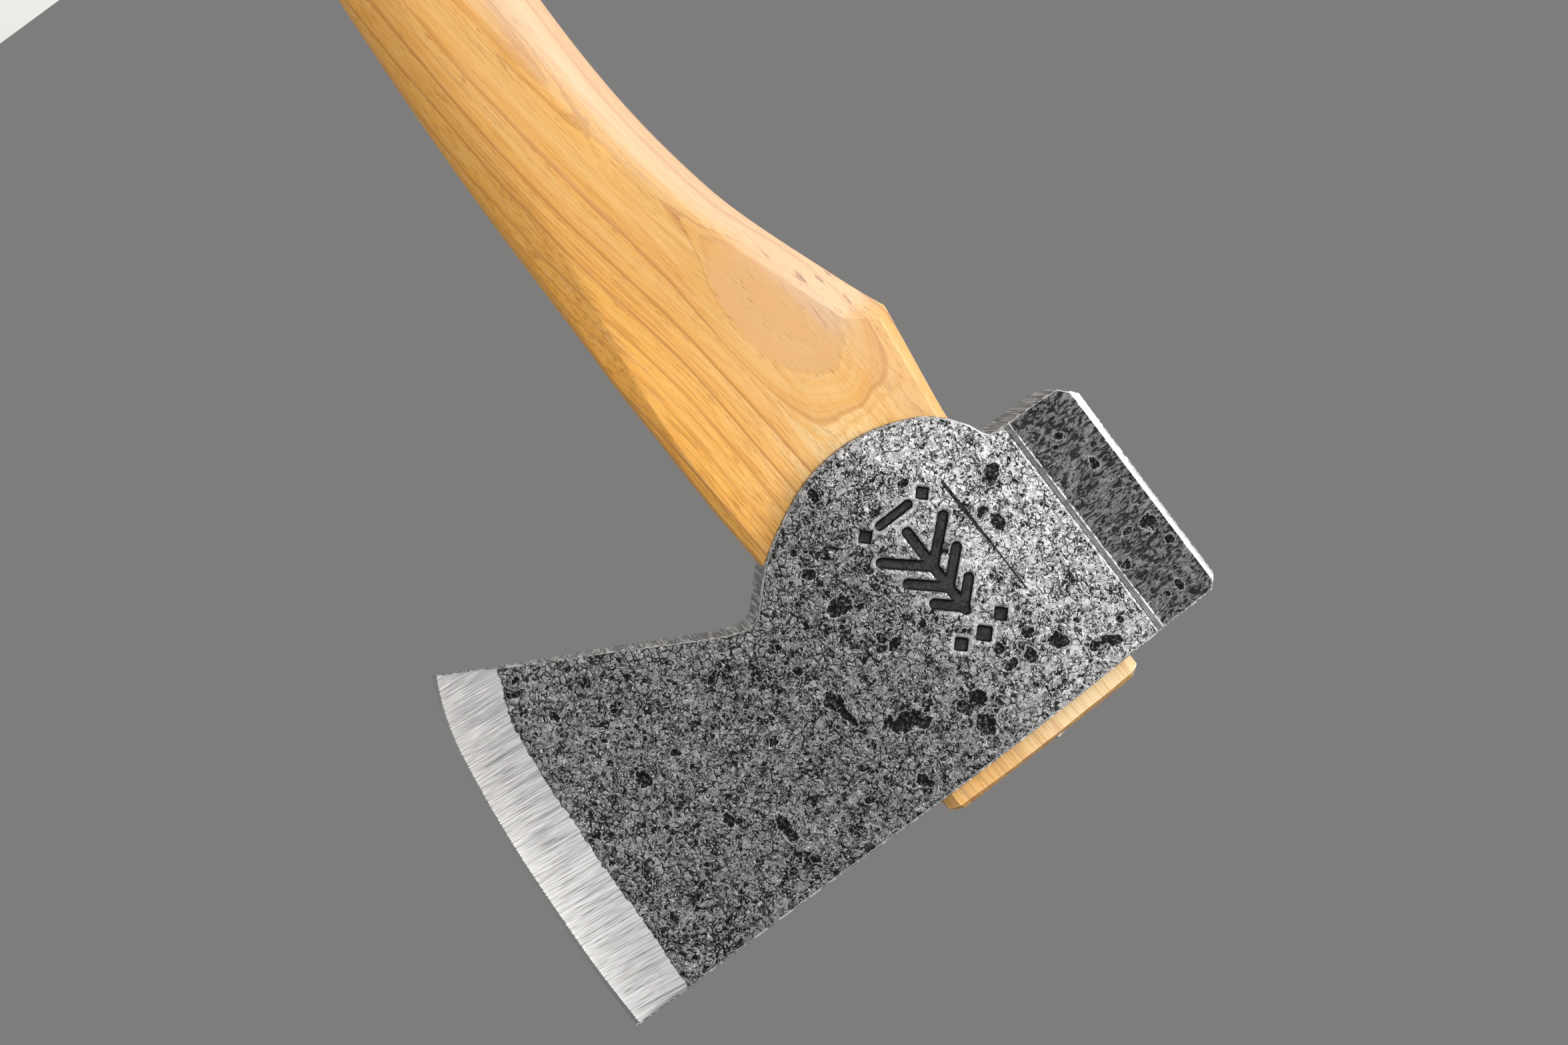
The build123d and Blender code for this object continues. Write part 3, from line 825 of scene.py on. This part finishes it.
def steel_head():
    m = Mat("forged_steel_look")
    bevel, edge, rim = m.attr("bevel"), m.attr("edge"), m.attr("rim")
    mark, pit, wall, score = m.attr("mark"), m.attr("pit"), m.attr("wall"), m.attr("score")
    worm = m.noise(0.92, 3, 0.58, 1.5)
    loops = m.noise(0.66, 3, 0.55, 1.3)
    loops2 = m.noise(0.36, 4, 0.62, 0.8)
    fine = m.noise(2.6, 3, 0.6, 0.6)
    broad = m.noise(0.075, 3, 0.55)
    patch = m.noise(0.23, 4, 0.62, 0.6)
    plate = m.noise(0.40, 3, 0.55, 0.6)
    tone = m.noise(0.8, 5, 0.65, 0.4)

    cheek = m.mul(m.mul(m.step(m.x, -31.3, -30.5), m.step(m.x, 13.0, -18.0)), m.step(m.z, -8.0, -38.0, 0.72, 1.0))
    edge_n = m.mul(m.sub(m.noise(1.1, 3), 0.5), 0.8)
    band = m.step(m.add(m.x, edge_n), -32.25, -32.55)
    strip = m.mul(m.step(m.x, -30.95, -31.15), m.sub(1.0, band))

    # scale eaten away in clusters, thin on the flat plates between them
    pmask = m.step(m.add(pit, m.mul(m.sub(m.noise(0.8, 4, 0.65, 0.5), 0.5), 1.9)), 0.00, 0.07)
    around = m.step(pit, -1.1, 0.2)
    level = m.add(0.452, m.mul(m.sub(patch, 0.5), 0.44))
    level = m.add(level, m.mul(m.sub(broad, 0.5), 0.20))
    level = m.add(level, m.mul(around, 0.05))
    level = m.sub(level, m.mul(m.step(plate, 0.53, 0.62), 0.07))
    level = m.sub(level, m.mul(cheek, 0.045))
    gap = m.sub(level, worm)
    hole = m.step(gap, -0.018, 0.018)
    deepish = m.step(gap, 0.0, 0.09)
    off = m.sub(loops, 0.49)
    breaks = m.step(m.add(m.noise(0.62, 2), m.mul(around, 0.06)), 0.47, 0.53)
    # painted shade: dark broken lines along the edges of the scale's pits
    pit_edge_shade = m.mul(m.step(m.math("ABSOLUTE", off), 0.056, 0.026), breaks)
    off2 = m.sub(loops2, 0.53)
    pit_edge_shade2 = m.mul(m.step(m.math("ABSOLUTE", off2), 0.026, 0.012), m.step(m.noise(0.9, 2), 0.56, 0.50))
    line = m.mx(pit_edge_shade, pit_edge_shade2)
    # painted highlight on the crest beside each dark line
    crest_highlight = m.mul(m.mul(m.step(off, 0.050, 0.072), m.step(off, 0.130, 0.085)), breaks)
    speck = m.step(m.sub(m.add(m.mul(level, 0.6), 0.125), fine), -0.02, 0.02)
    dark = m.mx(m.mx(hole, m.mul(line, 0.9)), m.mul(speck, 0.75))
    # rounded flakes with dark outlines along the blade's underside
    wob = m.vec(m.add(m.x, m.mul(m.noise(0.9, 2), 1.2)), m.add(m.y, m.mul(m.noise(1.0, 2), 0.6)), m.add(m.z, m.mul(m.noise(1.1, 2), 1.2)))
    flake = m.voronoi(0.62, wob, "DISTANCE_TO_EDGE")[0]
    under = m.mul(m.mul(m.step(rim, 6.5, 2.5), m.step(m.x, 16.0, 26.0)), m.step(m.z, -34.0, -44.0))
    isle = m.step(m.add(m.noise(0.33, 3, 0.55), m.mul(under, 0.13)), 0.575, 0.605)
    dark = m.mul(dark, m.sub(1.0, m.mul(isle, 0.72)))
    dark = m.mx(dark, m.mul(isle, m.step(flake, 0.085, 0.035)))
    crust = m.mul(isle, m.mul(m.step(flake, 0.085, 0.13), m.step(flake, 0.26, 0.17)))
    # small burst bubbles
    cell, rnd = m.voronoi(0.5)
    rsep = m.t.nodes.new("ShaderNodeSeparateColor")
    m.put(rsep.inputs[0], rnd)
    few = m.step(rsep.outputs[0], 0.90, 0.91)
    dist = m.mul(cell, 2.0)
    ringd = m.math("ABSOLUTE", m.sub(dist, m.add(0.30, m.mul(rsep.outputs[1], 0.35))))
    bubble = m.mul(few, m.step(ringd, 0.17, 0.05))
    inside = m.mul(few, m.step(dist, 0.34, 0.18))

    base_c = m.ramp(tone, [(0.32, grey(0.080)), (0.45, grey(0.185)), (0.56, grey(0.265)), (0.68, grey(0.43))])
    base_c = m.mix(m.mul(m.step(plate, 0.5, 0.62), 0.40), base_c, grey(0.30))
    base_c = m.mix(m.mul(cheek, 0.85), base_c, m.ramp(tone, [(0.32, grey(0.20)), (0.46, grey(0.50)), (0.64, grey(0.92))]))
    # painted highlight on the lip beside each pit and on the crests
    pit_lip_highlight = m.mul(m.step(gap, -0.075, -0.03), m.step(gap, -0.010, -0.028))
    base_c = m.mix(m.mul(m.mx(pit_lip_highlight, crest_highlight), 0.66), base_c, m.mix(cheek, grey(0.60), grey(0.90)))
    base_c = m.mix(m.mul(crust, 0.55), base_c, m.mix(cheek, grey(0.42), grey(0.85)))
    scale_c = m.mix(m.mul(bubble, 0.55), base_c, grey(0.50))
    scale_c = m.mix(m.mul(inside, 0.5), scale_c, grey(0.08))
    scale_c = m.mix(m.mul(dark, 0.98), scale_c, m.mix(deepish, grey(0.020), grey(0.005)))
    # poll band: darker, close wrinkles running along the head
    wv = m.scaled(0.62, 1.0, 1.6)
    wr = m.noise(0.85, 4, 0.65, 1.4, wv)
    wl = m.add(0.485, m.mul(m.sub(patch, 0.5), 0.35))
    wgap = m.sub(wl, wr)
    wd = m.step(wgap, -0.02, 0.02)
    band_c = m.ramp(tone, [(0.30, grey(0.085)), (0.5, grey(0.175)), (0.72, grey(0.30))])
    # painted highlight on the lip beside each wrinkle
    wrinkle_lip_highlight = m.mul(m.step(wgap, -0.085, -0.035), m.step(wgap, -0.012, -0.03))
    band_c = m.mix(m.mul(wrinkle_lip_highlight, 0.50), band_c, grey(0.46))
    band_c = m.mix(m.mul(wd, 0.96), band_c, grey(0.012))
    scale_c = m.mix(band, scale_c, band_c)
    # ground strip along the step, with broken painted highlights along its arrises, on the poll side and at the cheek
    lines_v = m.noise(1.0, 2, 0.5, 0.0, m.scaled(3.6, 1.0, 0.10))
    strip_c = m.ramp(lines_v, [(0.3, grey(0.12)), (0.7, grey(0.24))])
    strip_c = m.mix(m.mul(m.step(m.z, -26.0, -44.0), 0.45), strip_c, grey(0.075))
    scale_c = m.mix(m.mul(strip, 0.96), scale_c, strip_c)
    lit = m.mul(m.step(m.x, -31.0, -30.85), m.step(m.x, -30.35, -30.6))
    lit2 = m.mul(m.sub(1.0, band), m.step(m.x, -32.05, -32.2))
    crumbs = m.step(m.noise(0.7, 3), 0.36, 0.50)
    scale_c = m.mix(m.mul(m.mx(lit, lit2), m.mul(crumbs, 0.75)), scale_c, grey(0.74))
    # painted shade: a dark line at the foot of the step up to the cheek
    step_shade_line = m.mul(m.step(m.x, -31.22, -31.12), m.step(m.x, -30.9, -31.0))
    scale_c = m.mix(m.mul(step_shade_line, 0.8), scale_c, grey(0.02))
    # deep scars
    lump = m.noise(1.5, 4, 0.62, 0.8)
    scale_c = m.mix(pmask, scale_c, m.ramp(lump, [(0.50, grey(0.004)), (0.56, grey(0.030)), (0.64, grey(0.18))]))
    # painted highlight round the rim of each deep scar
    scar_rim_highlight = m.mul(m.step(m.add(pit, m.mul(m.sub(m.noise(0.8, 4, 0.65, 0.5), 0.5), 1.9)), -0.20, -0.06), m.sub(1.0, pmask))
    scale_c = m.mix(m.mul(scar_rim_highlight, 0.6), scale_c, grey(0.66))
    # bright rims: worn steel, with a painted highlight along the eased edge
    jag = m.mul(m.sub(m.noise(0.8, 3), 0.5), 0.30)
    rim_wear_and_highlight = m.step(m.add(rim, jag), 0.44, 0.30)
    scale_c = m.mix(m.mul(rim_wear_and_highlight, 0.90), scale_c, grey(0.50))
    # stamped mark and scribed line
    st = m.step(mark, 0.05, -0.05)
    wallshade = m.step(mark, -0.12, -0.55)
    scale_c = m.mix(st, scale_c, m.mix(wallshade, grey(0.004), m.ramp(fine, [(0.3, grey(0.018)), (0.7, grey(0.045))])))
    # painted highlight on the raised lip round the mark
    mark_lip_highlight = m.mul(m.step(mark, 0.05, 0.12), m.step(mark, 1.2, 0.35))
    scale_c = m.mix(m.mul(mark_lip_highlight, m.mul(m.step(m.noise(0.5, 3), 0.40, 0.56), 0.75)), scale_c, grey(0.66))
    sc = m.step(score, 0.26, 0.12)
    scale_c = m.mix(m.mul(sc, 0.96), scale_c, grey(0.008))

    # ground bevel: fine, slightly wavy scratches running out to the edge
    xr = m.sub(m.mul(m.x, 0.993), m.mul(m.z, 0.11))
    zr = m.add(m.mul(m.x, 0.11), m.mul(m.z, 0.993))
    zr = m.add(zr, m.mul(m.sub(m.noise(0.06, 1), 0.5), 0.8))
    lines = m.noise(1.0, 4, 0.68, 0.0, m.vec(m.mul(xr, 0.050), m.mul(m.y, 0.1), m.mul(zr, 3.2)))
    hair = m.noise(1.0, 2, 0.5, 0.0, m.vec(m.mul(xr, 0.14), m.mul(m.y, 0.1), m.mul(zr, 6.5)))
    broadl = m.noise(1.0, 2, 0.5, 0.0, m.vec(m.mul(xr, 0.06), 0.0, m.mul(zr, 0.35)))
    out = m.step(edge, 7.0, 0.8)
    ground_c = m.ramp(lines, [(0.36, grey(0.33)), (0.46, grey(0.54)), (0.58, grey(0.74))])
    ground_c = m.mix(m.mul(out, 0.75), ground_c, m.ramp(lines, [(0.36, grey(0.46)), (0.56, grey(0.86))]))
    ground_c = m.mix(m.mul(m.step(broadl, 0.55, 0.35), 0.22), ground_c, grey(0.40))
    ground_c = m.mix(m.mul(m.step(m.z, -30.0, -66.0), 0.66), ground_c, m.ramp(lines, [(0.34, grey(0.20)), (0.60, grey(0.42))]))
    inner = m.step(bevel, 0.8, 4.0, 0.25, 1.0)
    ground_c = m.mix(m.mul(m.mul(m.step(hair, 0.44, 0.36), 0.62), inner), ground_c, grey(0.10))
    ground_c = m.mix(m.mul(m.mul(m.step(hair, 0.58, 0.66), 0.55), inner), ground_c, grey(0.97))
    micro = m.step(m.add(edge, m.mul(m.sub(lines, 0.5), 1.1)), 0.78, 0.68)
    ground_c = m.mix(micro, ground_c, grey(0.13))
    ragged = m.add(m.mul(m.sub(m.noise(0.9, 4, 0.6), 0.5), 1.3), m.mul(m.sub(m.noise(0.18, 2), 0.5), 1.0))
    isb = m.step(m.add(bevel, ragged), -0.10, 0.10)
    burr = m.mul(m.step(m.add(bevel, ragged), -0.55, -0.15), m.sub(1.0, isb))
    scale_c = m.mix(m.mul(burr, 0.35), scale_c, grey(0.06))

    # walls across the thickness: brushed crossways
    brush = m.noise(1.0, 3, 0.6, 0.0, m.vec(m.mul(m.x, 2.3), m.mul(m.y, 0.05), m.mul(m.z, 0.8)))
    wall_c = m.ramp(brush, [(0.38, grey(0.045)), (0.47, grey(0.13)), (0.53, grey(0.24)), (0.62, grey(0.46))])
    poll_c = m.mix(m.step(m.noise(0.45, 5, 0.65, 0.5), 0.62, 0.42), grey(0.26), grey(0.15))
    poll_c = m.mix(m.mul(m.step(m.noise(1.3, 3, 0.6, 0.4), 0.42, 0.34), 0.8), poll_c, grey(0.03))
    face_w = m.step(wall, 0.3, 0.4)
    is_wall = m.step(wall, 0.6, 0.7)
    chamf = m.step(m.x, -45.75, -45.95)

    c = m.mix(isb, scale_c, ground_c)
    c = m.mix(m.mul(chamf, 0.96), c, m.ramp(m.noise(1.6, 4, 0.6), [(0.35, grey(0.84)), (0.55, grey(0.94))]))
    c = m.mix(face_w, c, poll_c)
    c = m.mix(is_wall, c, wall_c)
    m.set("Base Color", c)
    clean = m.mx(m.mx(isb, m.mul(rim_wear_and_highlight, 0.8)), m.mx(m.mul(chamf, 0.9), m.mul(face_w, 0.7)))
    rough = m.mixf(clean, m.mixf(dark, 0.46, 0.85), m.mixf(lines, 0.42, 0.28))
    m.set("Roughness", rough)
    m.set("Metallic", 0.75)

    h_scale = m.add(m.mul(m.step(gap, -0.06, 0.04), -1.6), m.mul(fine, 0.25))
    h_scale = m.add(h_scale, m.mul(m.step(loops, 0.46, 0.53), 0.9))
    h_scale = m.add(h_scale, m.mul(m.step(loops2, 0.50, 0.56), 0.9))
    h_scale = m.add(h_scale, m.mul(tone, 0.75))
    h_scale = m.add(h_scale, m.mul(plate, 1.4))
    h_scale = m.add(h_scale, m.sub(m.mul(bubble, 0.7), m.mul(inside, 0.5)))
    h_scale = m.add(h_scale, m.mul(isle, m.mul(m.step(flake, 0.02, 0.16), 1.0)))
    h_band = m.add(m.mul(m.step(wgap, -0.10, 0.05), -1.8), m.mul(fine, 0.2))
    h_scale = m.mixf(band, h_scale, h_band)
    h_scale = m.mixf(strip, h_scale, m.mul(lines_v, 0.15))
    h_scale = m.sub(h_scale, m.mul(sc, 2.2))
    h_scale = m.mixf(pmask, h_scale, m.sub(m.mul(lump, 3.0), 2.6))
    h_scale = m.mixf(m.mx(st, rim_wear_and_highlight), h_scale, m.mul(fine, 0.2))
    h = m.mixf(isb, h_scale, m.add(m.mul(lines, 0.16), m.mul(hair, 0.05)))
    h = m.mixf(m.mul(chamf, 0.9), h, m.mul(fine, 0.15))
    h = m.mixf(face_w, h, m.mul(plate, 0.3))
    h = m.mixf(is_wall, h, m.mul(brush, 0.5))
    m.set("Normal", m.bump(h, 0.00014, 1.0))
    return m.m


LEAN = [(-410.0, 24.0), (-300.0, 20.0), (-250.0, 17.5), (-200.0, 14.6), (-180.0, 13.4), (-162.0, 12.0), (-144.0, 10.2),
        (-128.0, 8.0), (-109.0, 4.6), (-100.0, 3.3), (-87.0, 2.1), (-72.0, 1.3), (-60.0, 0.8), (10.0, -1.5)]
SWELL = [(-410.0, 2.0), (-200.0, 4.0), (-140.0, 6.0), (-125.0, 6.3), (-117.0, 5.6), (-113.0, 4.4), (-108.0, 2.6),
         (-103.0, 0.9), (-98.0, 0.0), (-93.0, 0.9), (-88.0, 2.9), (-82.0, 6.3), (-76.0, 8.7), (-69.4, 10.95),
         (-60.0, 13.0), (-45.0, 12.0), (-15.0, 1.0), (10.0, 0.0)]


def wood(name, pale, gold, deep, line_c, end_field=None, tight=1.0):
    m = Mat(name)
    zn = m.math("DIVIDE", m.add(m.z, 410.0), 420.0)
    shift = m.table(zn, [((z + 410.0) / 420.0, v / 30.0) for z, v in LEAN])
    shift = m.mul(shift, 30.0)
    swell = m.mul(m.table(zn, [((z + 410.0) / 420.0, v / 20.0) for z, v in SWELL]), 20.0)
    # distance from the pith line, which runs just inside the -y face and leans forward going down
    sway = m.mul(m.sub(m.noise(1.0, 2, 0.5, 0.0, m.scaled(0.06, 0.06, 0.012)), 0.5), 2.6)
    dx = m.add(m.sub(m.x, m.sub(shift, 12.6)), sway)
    dy = m.add(m.y, 14.3)
    bell = m.math("EXPONENT", m.mul(m.mul(dx, dx), -1.0 / 81.0))
    wave = m.mul(m.sub(m.noise(1.0, 3, 0.55, 0.0, m.scaled(0.22, 0.22, 0.030)), 0.5), 0.9)
    lay = m.math("SQRT", m.add(m.mul(dx, dx), m.mul(dy, dy)))
    lay = m.add(m.add(lay, m.mul(swell, bell)), wave)
    ringc = m.mul(m.sub(lay, 8.34), tight / 4.4)
    frac = m.math("FRACT", ringc)
    ringn = m.noise(1.7, 0, 0.5, 0.0, m.vec(m.math("FLOOR", ringc), 0.0, 0.0))
    weight = m.step(ringn, 0.30, 0.70, 0.45, 1.0)
    late = m.mul(m.mul(m.step(frac, 0.15, 0.92), m.step(frac, 1.0, 0.965)), weight)
    thin = m.mul(m.mul(m.step(frac, 0.80, 0.93), m.step(frac, 1.0, 0.965)), weight)
    # weaker lines between, following the layers
    sub_l = m.noise(1.0, 3, 0.6, 0.0, m.vec(m.mul(lay, 0.85 * tight), 0.0, m.mul(m.z, 0.004)))
    sub_f = m.noise(1.0, 2, 0.5, 0.0, m.vec(m.mul(lay, 3.1 * tight), 3.7, m.mul(m.z, 0.010)))
    # fibres, streaks and pores along the grain
    gx = m.sub(m.x, shift)
    fibre = m.noise(1.0, 3, 0.6, 0.0, m.vec(m.mul(gx, 2.6), m.mul(m.y, 2.6), m.mul(m.z, 0.085)))
    streak = m.noise(1.0, 3, 0.55, 0.0, m.vec(m.mul(gx, 0.55), m.mul(m.y, 0.55), m.mul(m.z, 0.018)))
    pore = m.noise(1.0, 2, 0.5, 0.0, m.vec(m.mul(gx, 4.6), m.mul(m.y, 4.6), m.mul(m.z, 0.34)))
    early = m.step(frac, 0.50, 0.02)
    pores = m.mul(m.step(pore, 0.60, 0.67), m.add(0.25, m.mul(early, 0.75)))
    cloud = m.noise(0.022, 3, 0.5)
    frontal = m.step(dx, 6.0, 34.0)
    down = m.step(m.add(m.z, m.mul(m.sub(cloud, 0.5), 40.0)), -70.0, -128.0)
    c = m.mix(down, pale, gold)
    c = m.mix(m.mul(m.mul(m.step(m.z, -84.0, -60.0), m.step(m.x, -24.0, -6.0)), 0.70), c,
              tuple(min(1.0, v * k) for v, k in zip(pale, (1.24, 1.66, 2.5))))
    # towards the front a deeper, more saturated tone: partly the wood's own colour, partly painted shade on the front
    # rounding
    c = m.mix(m.mul(frontal, 0.85), c, deep)
    c = m.mix(m.mul(m.step(cloud, 0.42, 0.62), 0.30), c, deep)
    amber = tuple(0.62 * a + 0.38 * b for a, b in zip(deep, line_c))
    c = m.mix(m.mul(late, 0.60), c, amber)
    c = m.mix(m.mul(m.step(sub_l, 0.50, 0.66), 0.42), c, amber)
    c = m.mix(m.mul(m.step(sub_l, 0.46, 0.34), 0.35), c, pale)
    c = m.mix(m.mul(m.step(streak, 0.52, 0.68), 0.35), c, amber)
    c = m.mix(m.mul(m.step(streak, 0.46, 0.32), 0.30), c, pale)
    # heart of the figure at the shoulder: smoother and rosier
    core = m.mul(m.mul(m.step(lay, 8.9, 8.3), m.step(m.y, 0.0, -6.0)), m.mul(m.step(m.z, -122.0, -110.0), m.step(m.z, -70.0, -80.0)))
    c = m.mix(m.mul(core, 0.70), c, (0.61, 0.345, 0.140))
    calm = m.mul(m.mul(m.step(lay, 14.0, 12.0), m.step(m.y, 0.0, -6.0)), m.mul(m.step(m.z, -106.0, -98.0), m.step(m.z, -66.0, -74.0)))
    quiet = m.sub(1.0, m.mx(m.mul(core, 0.95), m.mul(calm, 0.55)))
    c = m.mix(m.mul(m.mul(thin, 0.62), quiet), c, line_c)
    grain_amt = m.mul(m.add(0.45, m.mul(frontal, 0.4)), quiet)
    c = m.mix(m.mul(m.step(fibre, 0.50, 0.66), grain_amt), c, tuple(0.5 * a + 0.5 * b for a, b in zip(amber, line_c)))
    c = m.mix(m.mul(m.step(fibre, 0.46, 0.34), m.mul(grain_amt, 0.5)), c, pale)
    c = m.mix(m.mul(m.mul(m.step(sub_f, 0.60, 0.70), 0.40), quiet), c, line_c)
    c = m.mix(m.mul(pores, 0.42), c, tuple(v * 0.55 for v in line_c))
    # the back: paler, a painted sheen on the rounded back, with a few violet-brown streaks by the shoulder
    behind = m.step(m.add(m.sub(m.x, m.mul(shift, 1.35)), m.mul(m.sub(streak, 0.5), 3.0)), -14.0, -21.5)
    behind = m.mul(behind, m.step(m.z, -84.0, -92.0, 0.25, 1.0))
    behind = m.mul(behind, m.step(m.z, -255.0, -170.0, 0.45, 1.0))
    c = m.mix(m.mul(behind, 0.66), c, (0.62, 0.455, 0.335))
    c = m.mix(m.mul(m.mul(behind, m.step(fibre, 0.50, 0.64)), 0.30), c, (0.46, 0.27, 0.15))
    c = m.mix(m.mul(m.mul(behind, thin), 0.40), c, (0.42, 0.22, 0.11))
    violet = m.noise(1.0, 3, 0.6, 0.0, m.vec(m.mul(m.x, 0.9), m.mul(m.y, 0.5), m.mul(m.z, 0.06)))
    by_shoulder = m.step(m.z, -118.0, -96.0)
    c = m.mix(m.mul(m.mul(behind, m.step(violet, 0.58, 0.68)), m.mul(by_shoulder, 0.75)), c, (0.22, 0.11, 0.10))
    # the stub above the head: paler end and a darker bevelled top
    stub = m.step(m.z, -0.6, 0.4)
    # painted light: the stub paler all over, most of all towards its back end
    c = m.mix(m.mul(stub, m.step(m.x, 14.0, -12.0, 0.20, 0.75)), c, (0.94, 0.72, 0.43))
    c = m.mix(m.mul(m.mul(stub, m.step(fibre, 0.48, 0.62)), 0.40), c, amber)
    # painted shade on the bevelled top, on the -y side only
    stub_top_shade = m.mul(m.step(m.add(m.z, m.mul(m.sub(fibre, 0.5), 1.2)), 4.3, 5.0), m.step(m.y, -5.0, -8.5))
    c = m.mix(m.mul(stub_top_shade, 0.60), c, tuple(v * 0.55 for v in deep))
    # rare dark flecks
    cell, rnd = m.voronoi(0.20, m.vec(m.mul(gx, 1.0), m.y, m.mul(m.z, 0.45)))
    sep = m.t.nodes.new("ShaderNodeSeparateColor")
    m.put(sep.inputs[0], rnd)
    fleck = m.mul(m.step(sep.outputs[0], 0.93, 0.935), m.step(cell, 0.075, 0.045))
    c = m.mix(m.mul(fleck, 0.85), c, (0.05, 0.028, 0.016))
    rough = m.mixf(fibre, 0.40, 0.56)
    rough = m.mixf(m.mul(frontal, 0.6), rough, 0.68)
    if end_field:
        e = m.step(m.attr(end_field), 0.3, 0.7)
        saw = m.noise(1.0, 3, 0.6, 0.0, m.scaled(0.25, 2.2, 1.0))
        endc = m.mix(m.step(m.noise(1.6, 3, 0.6), 0.40, 0.68), tuple(v * 0.42 for v in gold), tuple(v * 0.70 for v in gold))
        endc = m.mix(m.mul(late, 0.7), endc, tuple(v * 0.6 for v in line_c))
        endc = m.mix(m.mul(m.step(saw, 0.5, 0.65), 0.3), endc, tuple(v * 0.5 for v in line_c))
        c = m.mix(m.mul(e, 0.92), c, endc)
        rough = m.mixf(e, rough, 0.8)
    m.set("Base Color", c)
    m.set("Roughness", rough)
    m.bsdf.inputs["Specular IOR Level"].default_value = 0.42
    h = m.add(m.add(m.mul(fibre, 0.6), m.mul(late, 0.25)), m.mul(pores, -0.9))
    m.set("Normal", m.bump(h, 0.00007, 0.8))
    return m.m


def wedge_steel():
    m = Mat("wedge_steel_look")
    b = m.noise(1.0, 4, 0.6, 0.3, m.scaled(0.5, 2.4, 0.5))
    spot = m.noise(0.8, 4, 0.6, 0.4)
    c = m.ramp(b, [(0.3, grey(0.26)), (0.6, grey(0.5))])
    c = m.mix(m.step(spot, 0.55, 0.68), c, (0.16, 0.10, 0.07))
    m.set("Base Color", c)
    m.set("Roughness", m.mixf(b, 0.55, 0.38))
    m.set("Metallic", 0.85)
    m.set("Normal", m.bump(m.add(b, spot), 0.00006, 0.7))
    return m.m


STEEL = steel_head()
WOOD = wood("haft_wood_look", (0.71, 0.448, 0.178), (0.62, 0.345, 0.094), (0.84, 0.405, 0.058), (0.37, 0.135, 0.024), "endgrain")
WEDGE_WOOD = wood("wedge_wood_look", (0.36, 0.20, 0.10), (0.33, 0.18, 0.08), (0.26, 0.13, 0.055), (0.12, 0.055, 0.022), None, 1.6)


def dress(obj, mat):
    obj.data.materials.clear()
    obj.data.materials.append(mat)
    obj.data.polygons.foreach_set("material_index", [0] * len(obj.data.polygons))


dress(head, STEEL)
dress(haft, WOOD)
for o, mat in ((nodes["wood_wedge"], WEDGE_WOOD), (nodes["steel_wedge"], wedge_steel())):
    if not o.material_slots:
        o.data.materials.append(mat)
    for sl in o.material_slots:
        sl.material = mat

# ------------------------------------------------------------------ stage, light, camera
fb = bmesh.new()
bmesh.ops.create_circle(fb, cap_ends=True, segments=96, radius=1.1)
fm = bpy.data.meshes.new("floor")
fb.to_mesh(fm)
fb.free()
floor = bpy.data.objects.new("floor", fm)
floor.location = (0.0, 0.0, BUTT - 0.0005)
bpy.context.scene.collection.objects.link(floor)
fmat = Mat("floor_look")
fmat.set("Base Color", fmat.ramp(fmat.noise(0.01, 3), [(0.3, (0.70, 0.69, 0.67)), (0.7, (0.74, 0.73, 0.71))]))
fmat.set("Roughness", 0.85)
floor.data.materials.append(fmat.m)

world = bpy.data.worlds.new("studio")
bpy.context.scene.world = world
world.use_nodes = True
world.node_tree.nodes["Background"].inputs[0].default_value = (0.80, 0.79, 0.78, 1.0)
world.node_tree.nodes["Background"].inputs[1].default_value = 0.26
bpy.context.scene.view_settings.view_transform = "Standard"

AIM = Vector((0.010, 0.0, 0.235))


def area(name, where, size, power, colour=(1, 1, 1), aim=AIM):
    l = bpy.data.lights.new(name, "AREA")
    l.shape, l.size, l.size_y, l.energy, l.color = "RECTANGLE", size[0], size[1], power, colour
    o = bpy.data.objects.new(name, l)
    o.location = where
    o.rotation_euler = (aim - Vector(where)).to_track_quat("-Z", "Y").to_euler()
    bpy.context.scene.collection.objects.link(o)
    return o


area("key_poll_side", (-1.05, -0.50, 0.36), (0.40, 0.8), 15.6, (1.0, 0.985, 0.96))
area("front_soft", (-0.05, -1.50, 0.16), (0.7, 0.7), 7.3, (1.0, 0.99, 0.98))
area("edge_fill", (0.95, -0.95, 0.10), (0.7, 0.9), 4.6, (1.0, 0.97, 0.93))
area("back_soft", (-0.40, 1.35, 0.75), (1.0, 1.0), 15.0)
area("top_soft", (-0.1, 0.1, 1.55), (0.9, 0.9), 7.0)

cam_data = bpy.data.cameras.new("camera")
cam_data.lens, cam_data.sensor_width = 90.0, 36.0
cam_data.clip_start, cam_data.clip_end = 0.02, 20.0
cam = bpy.data.objects.new("camera", cam_data)
bpy.context.scene.collection.objects.link(cam)
back = Vector((0.040, -1.0, -0.068)).normalized()
right = Vector((-0.7912, 0.0, 0.6115))
right = (right - back * right.dot(back)).normalized()
up = back.cross(right)
target = Vector((0.0154, -0.008, TOP * 0.001 - 0.0634))
where = target + back * 0.788
cam.matrix_world = Matrix((
    (right.x, up.x, back.x, where.x), (right.y, up.y, back.y, where.y), (right.z, up.z, back.z, where.z), (0, 0, 0, 1)))
bpy.context.scene.camera = cam

print("faces", {o.name: sum(len(p.vertices) - 2 for p in o.data.polygons) for o in (head, haft)})
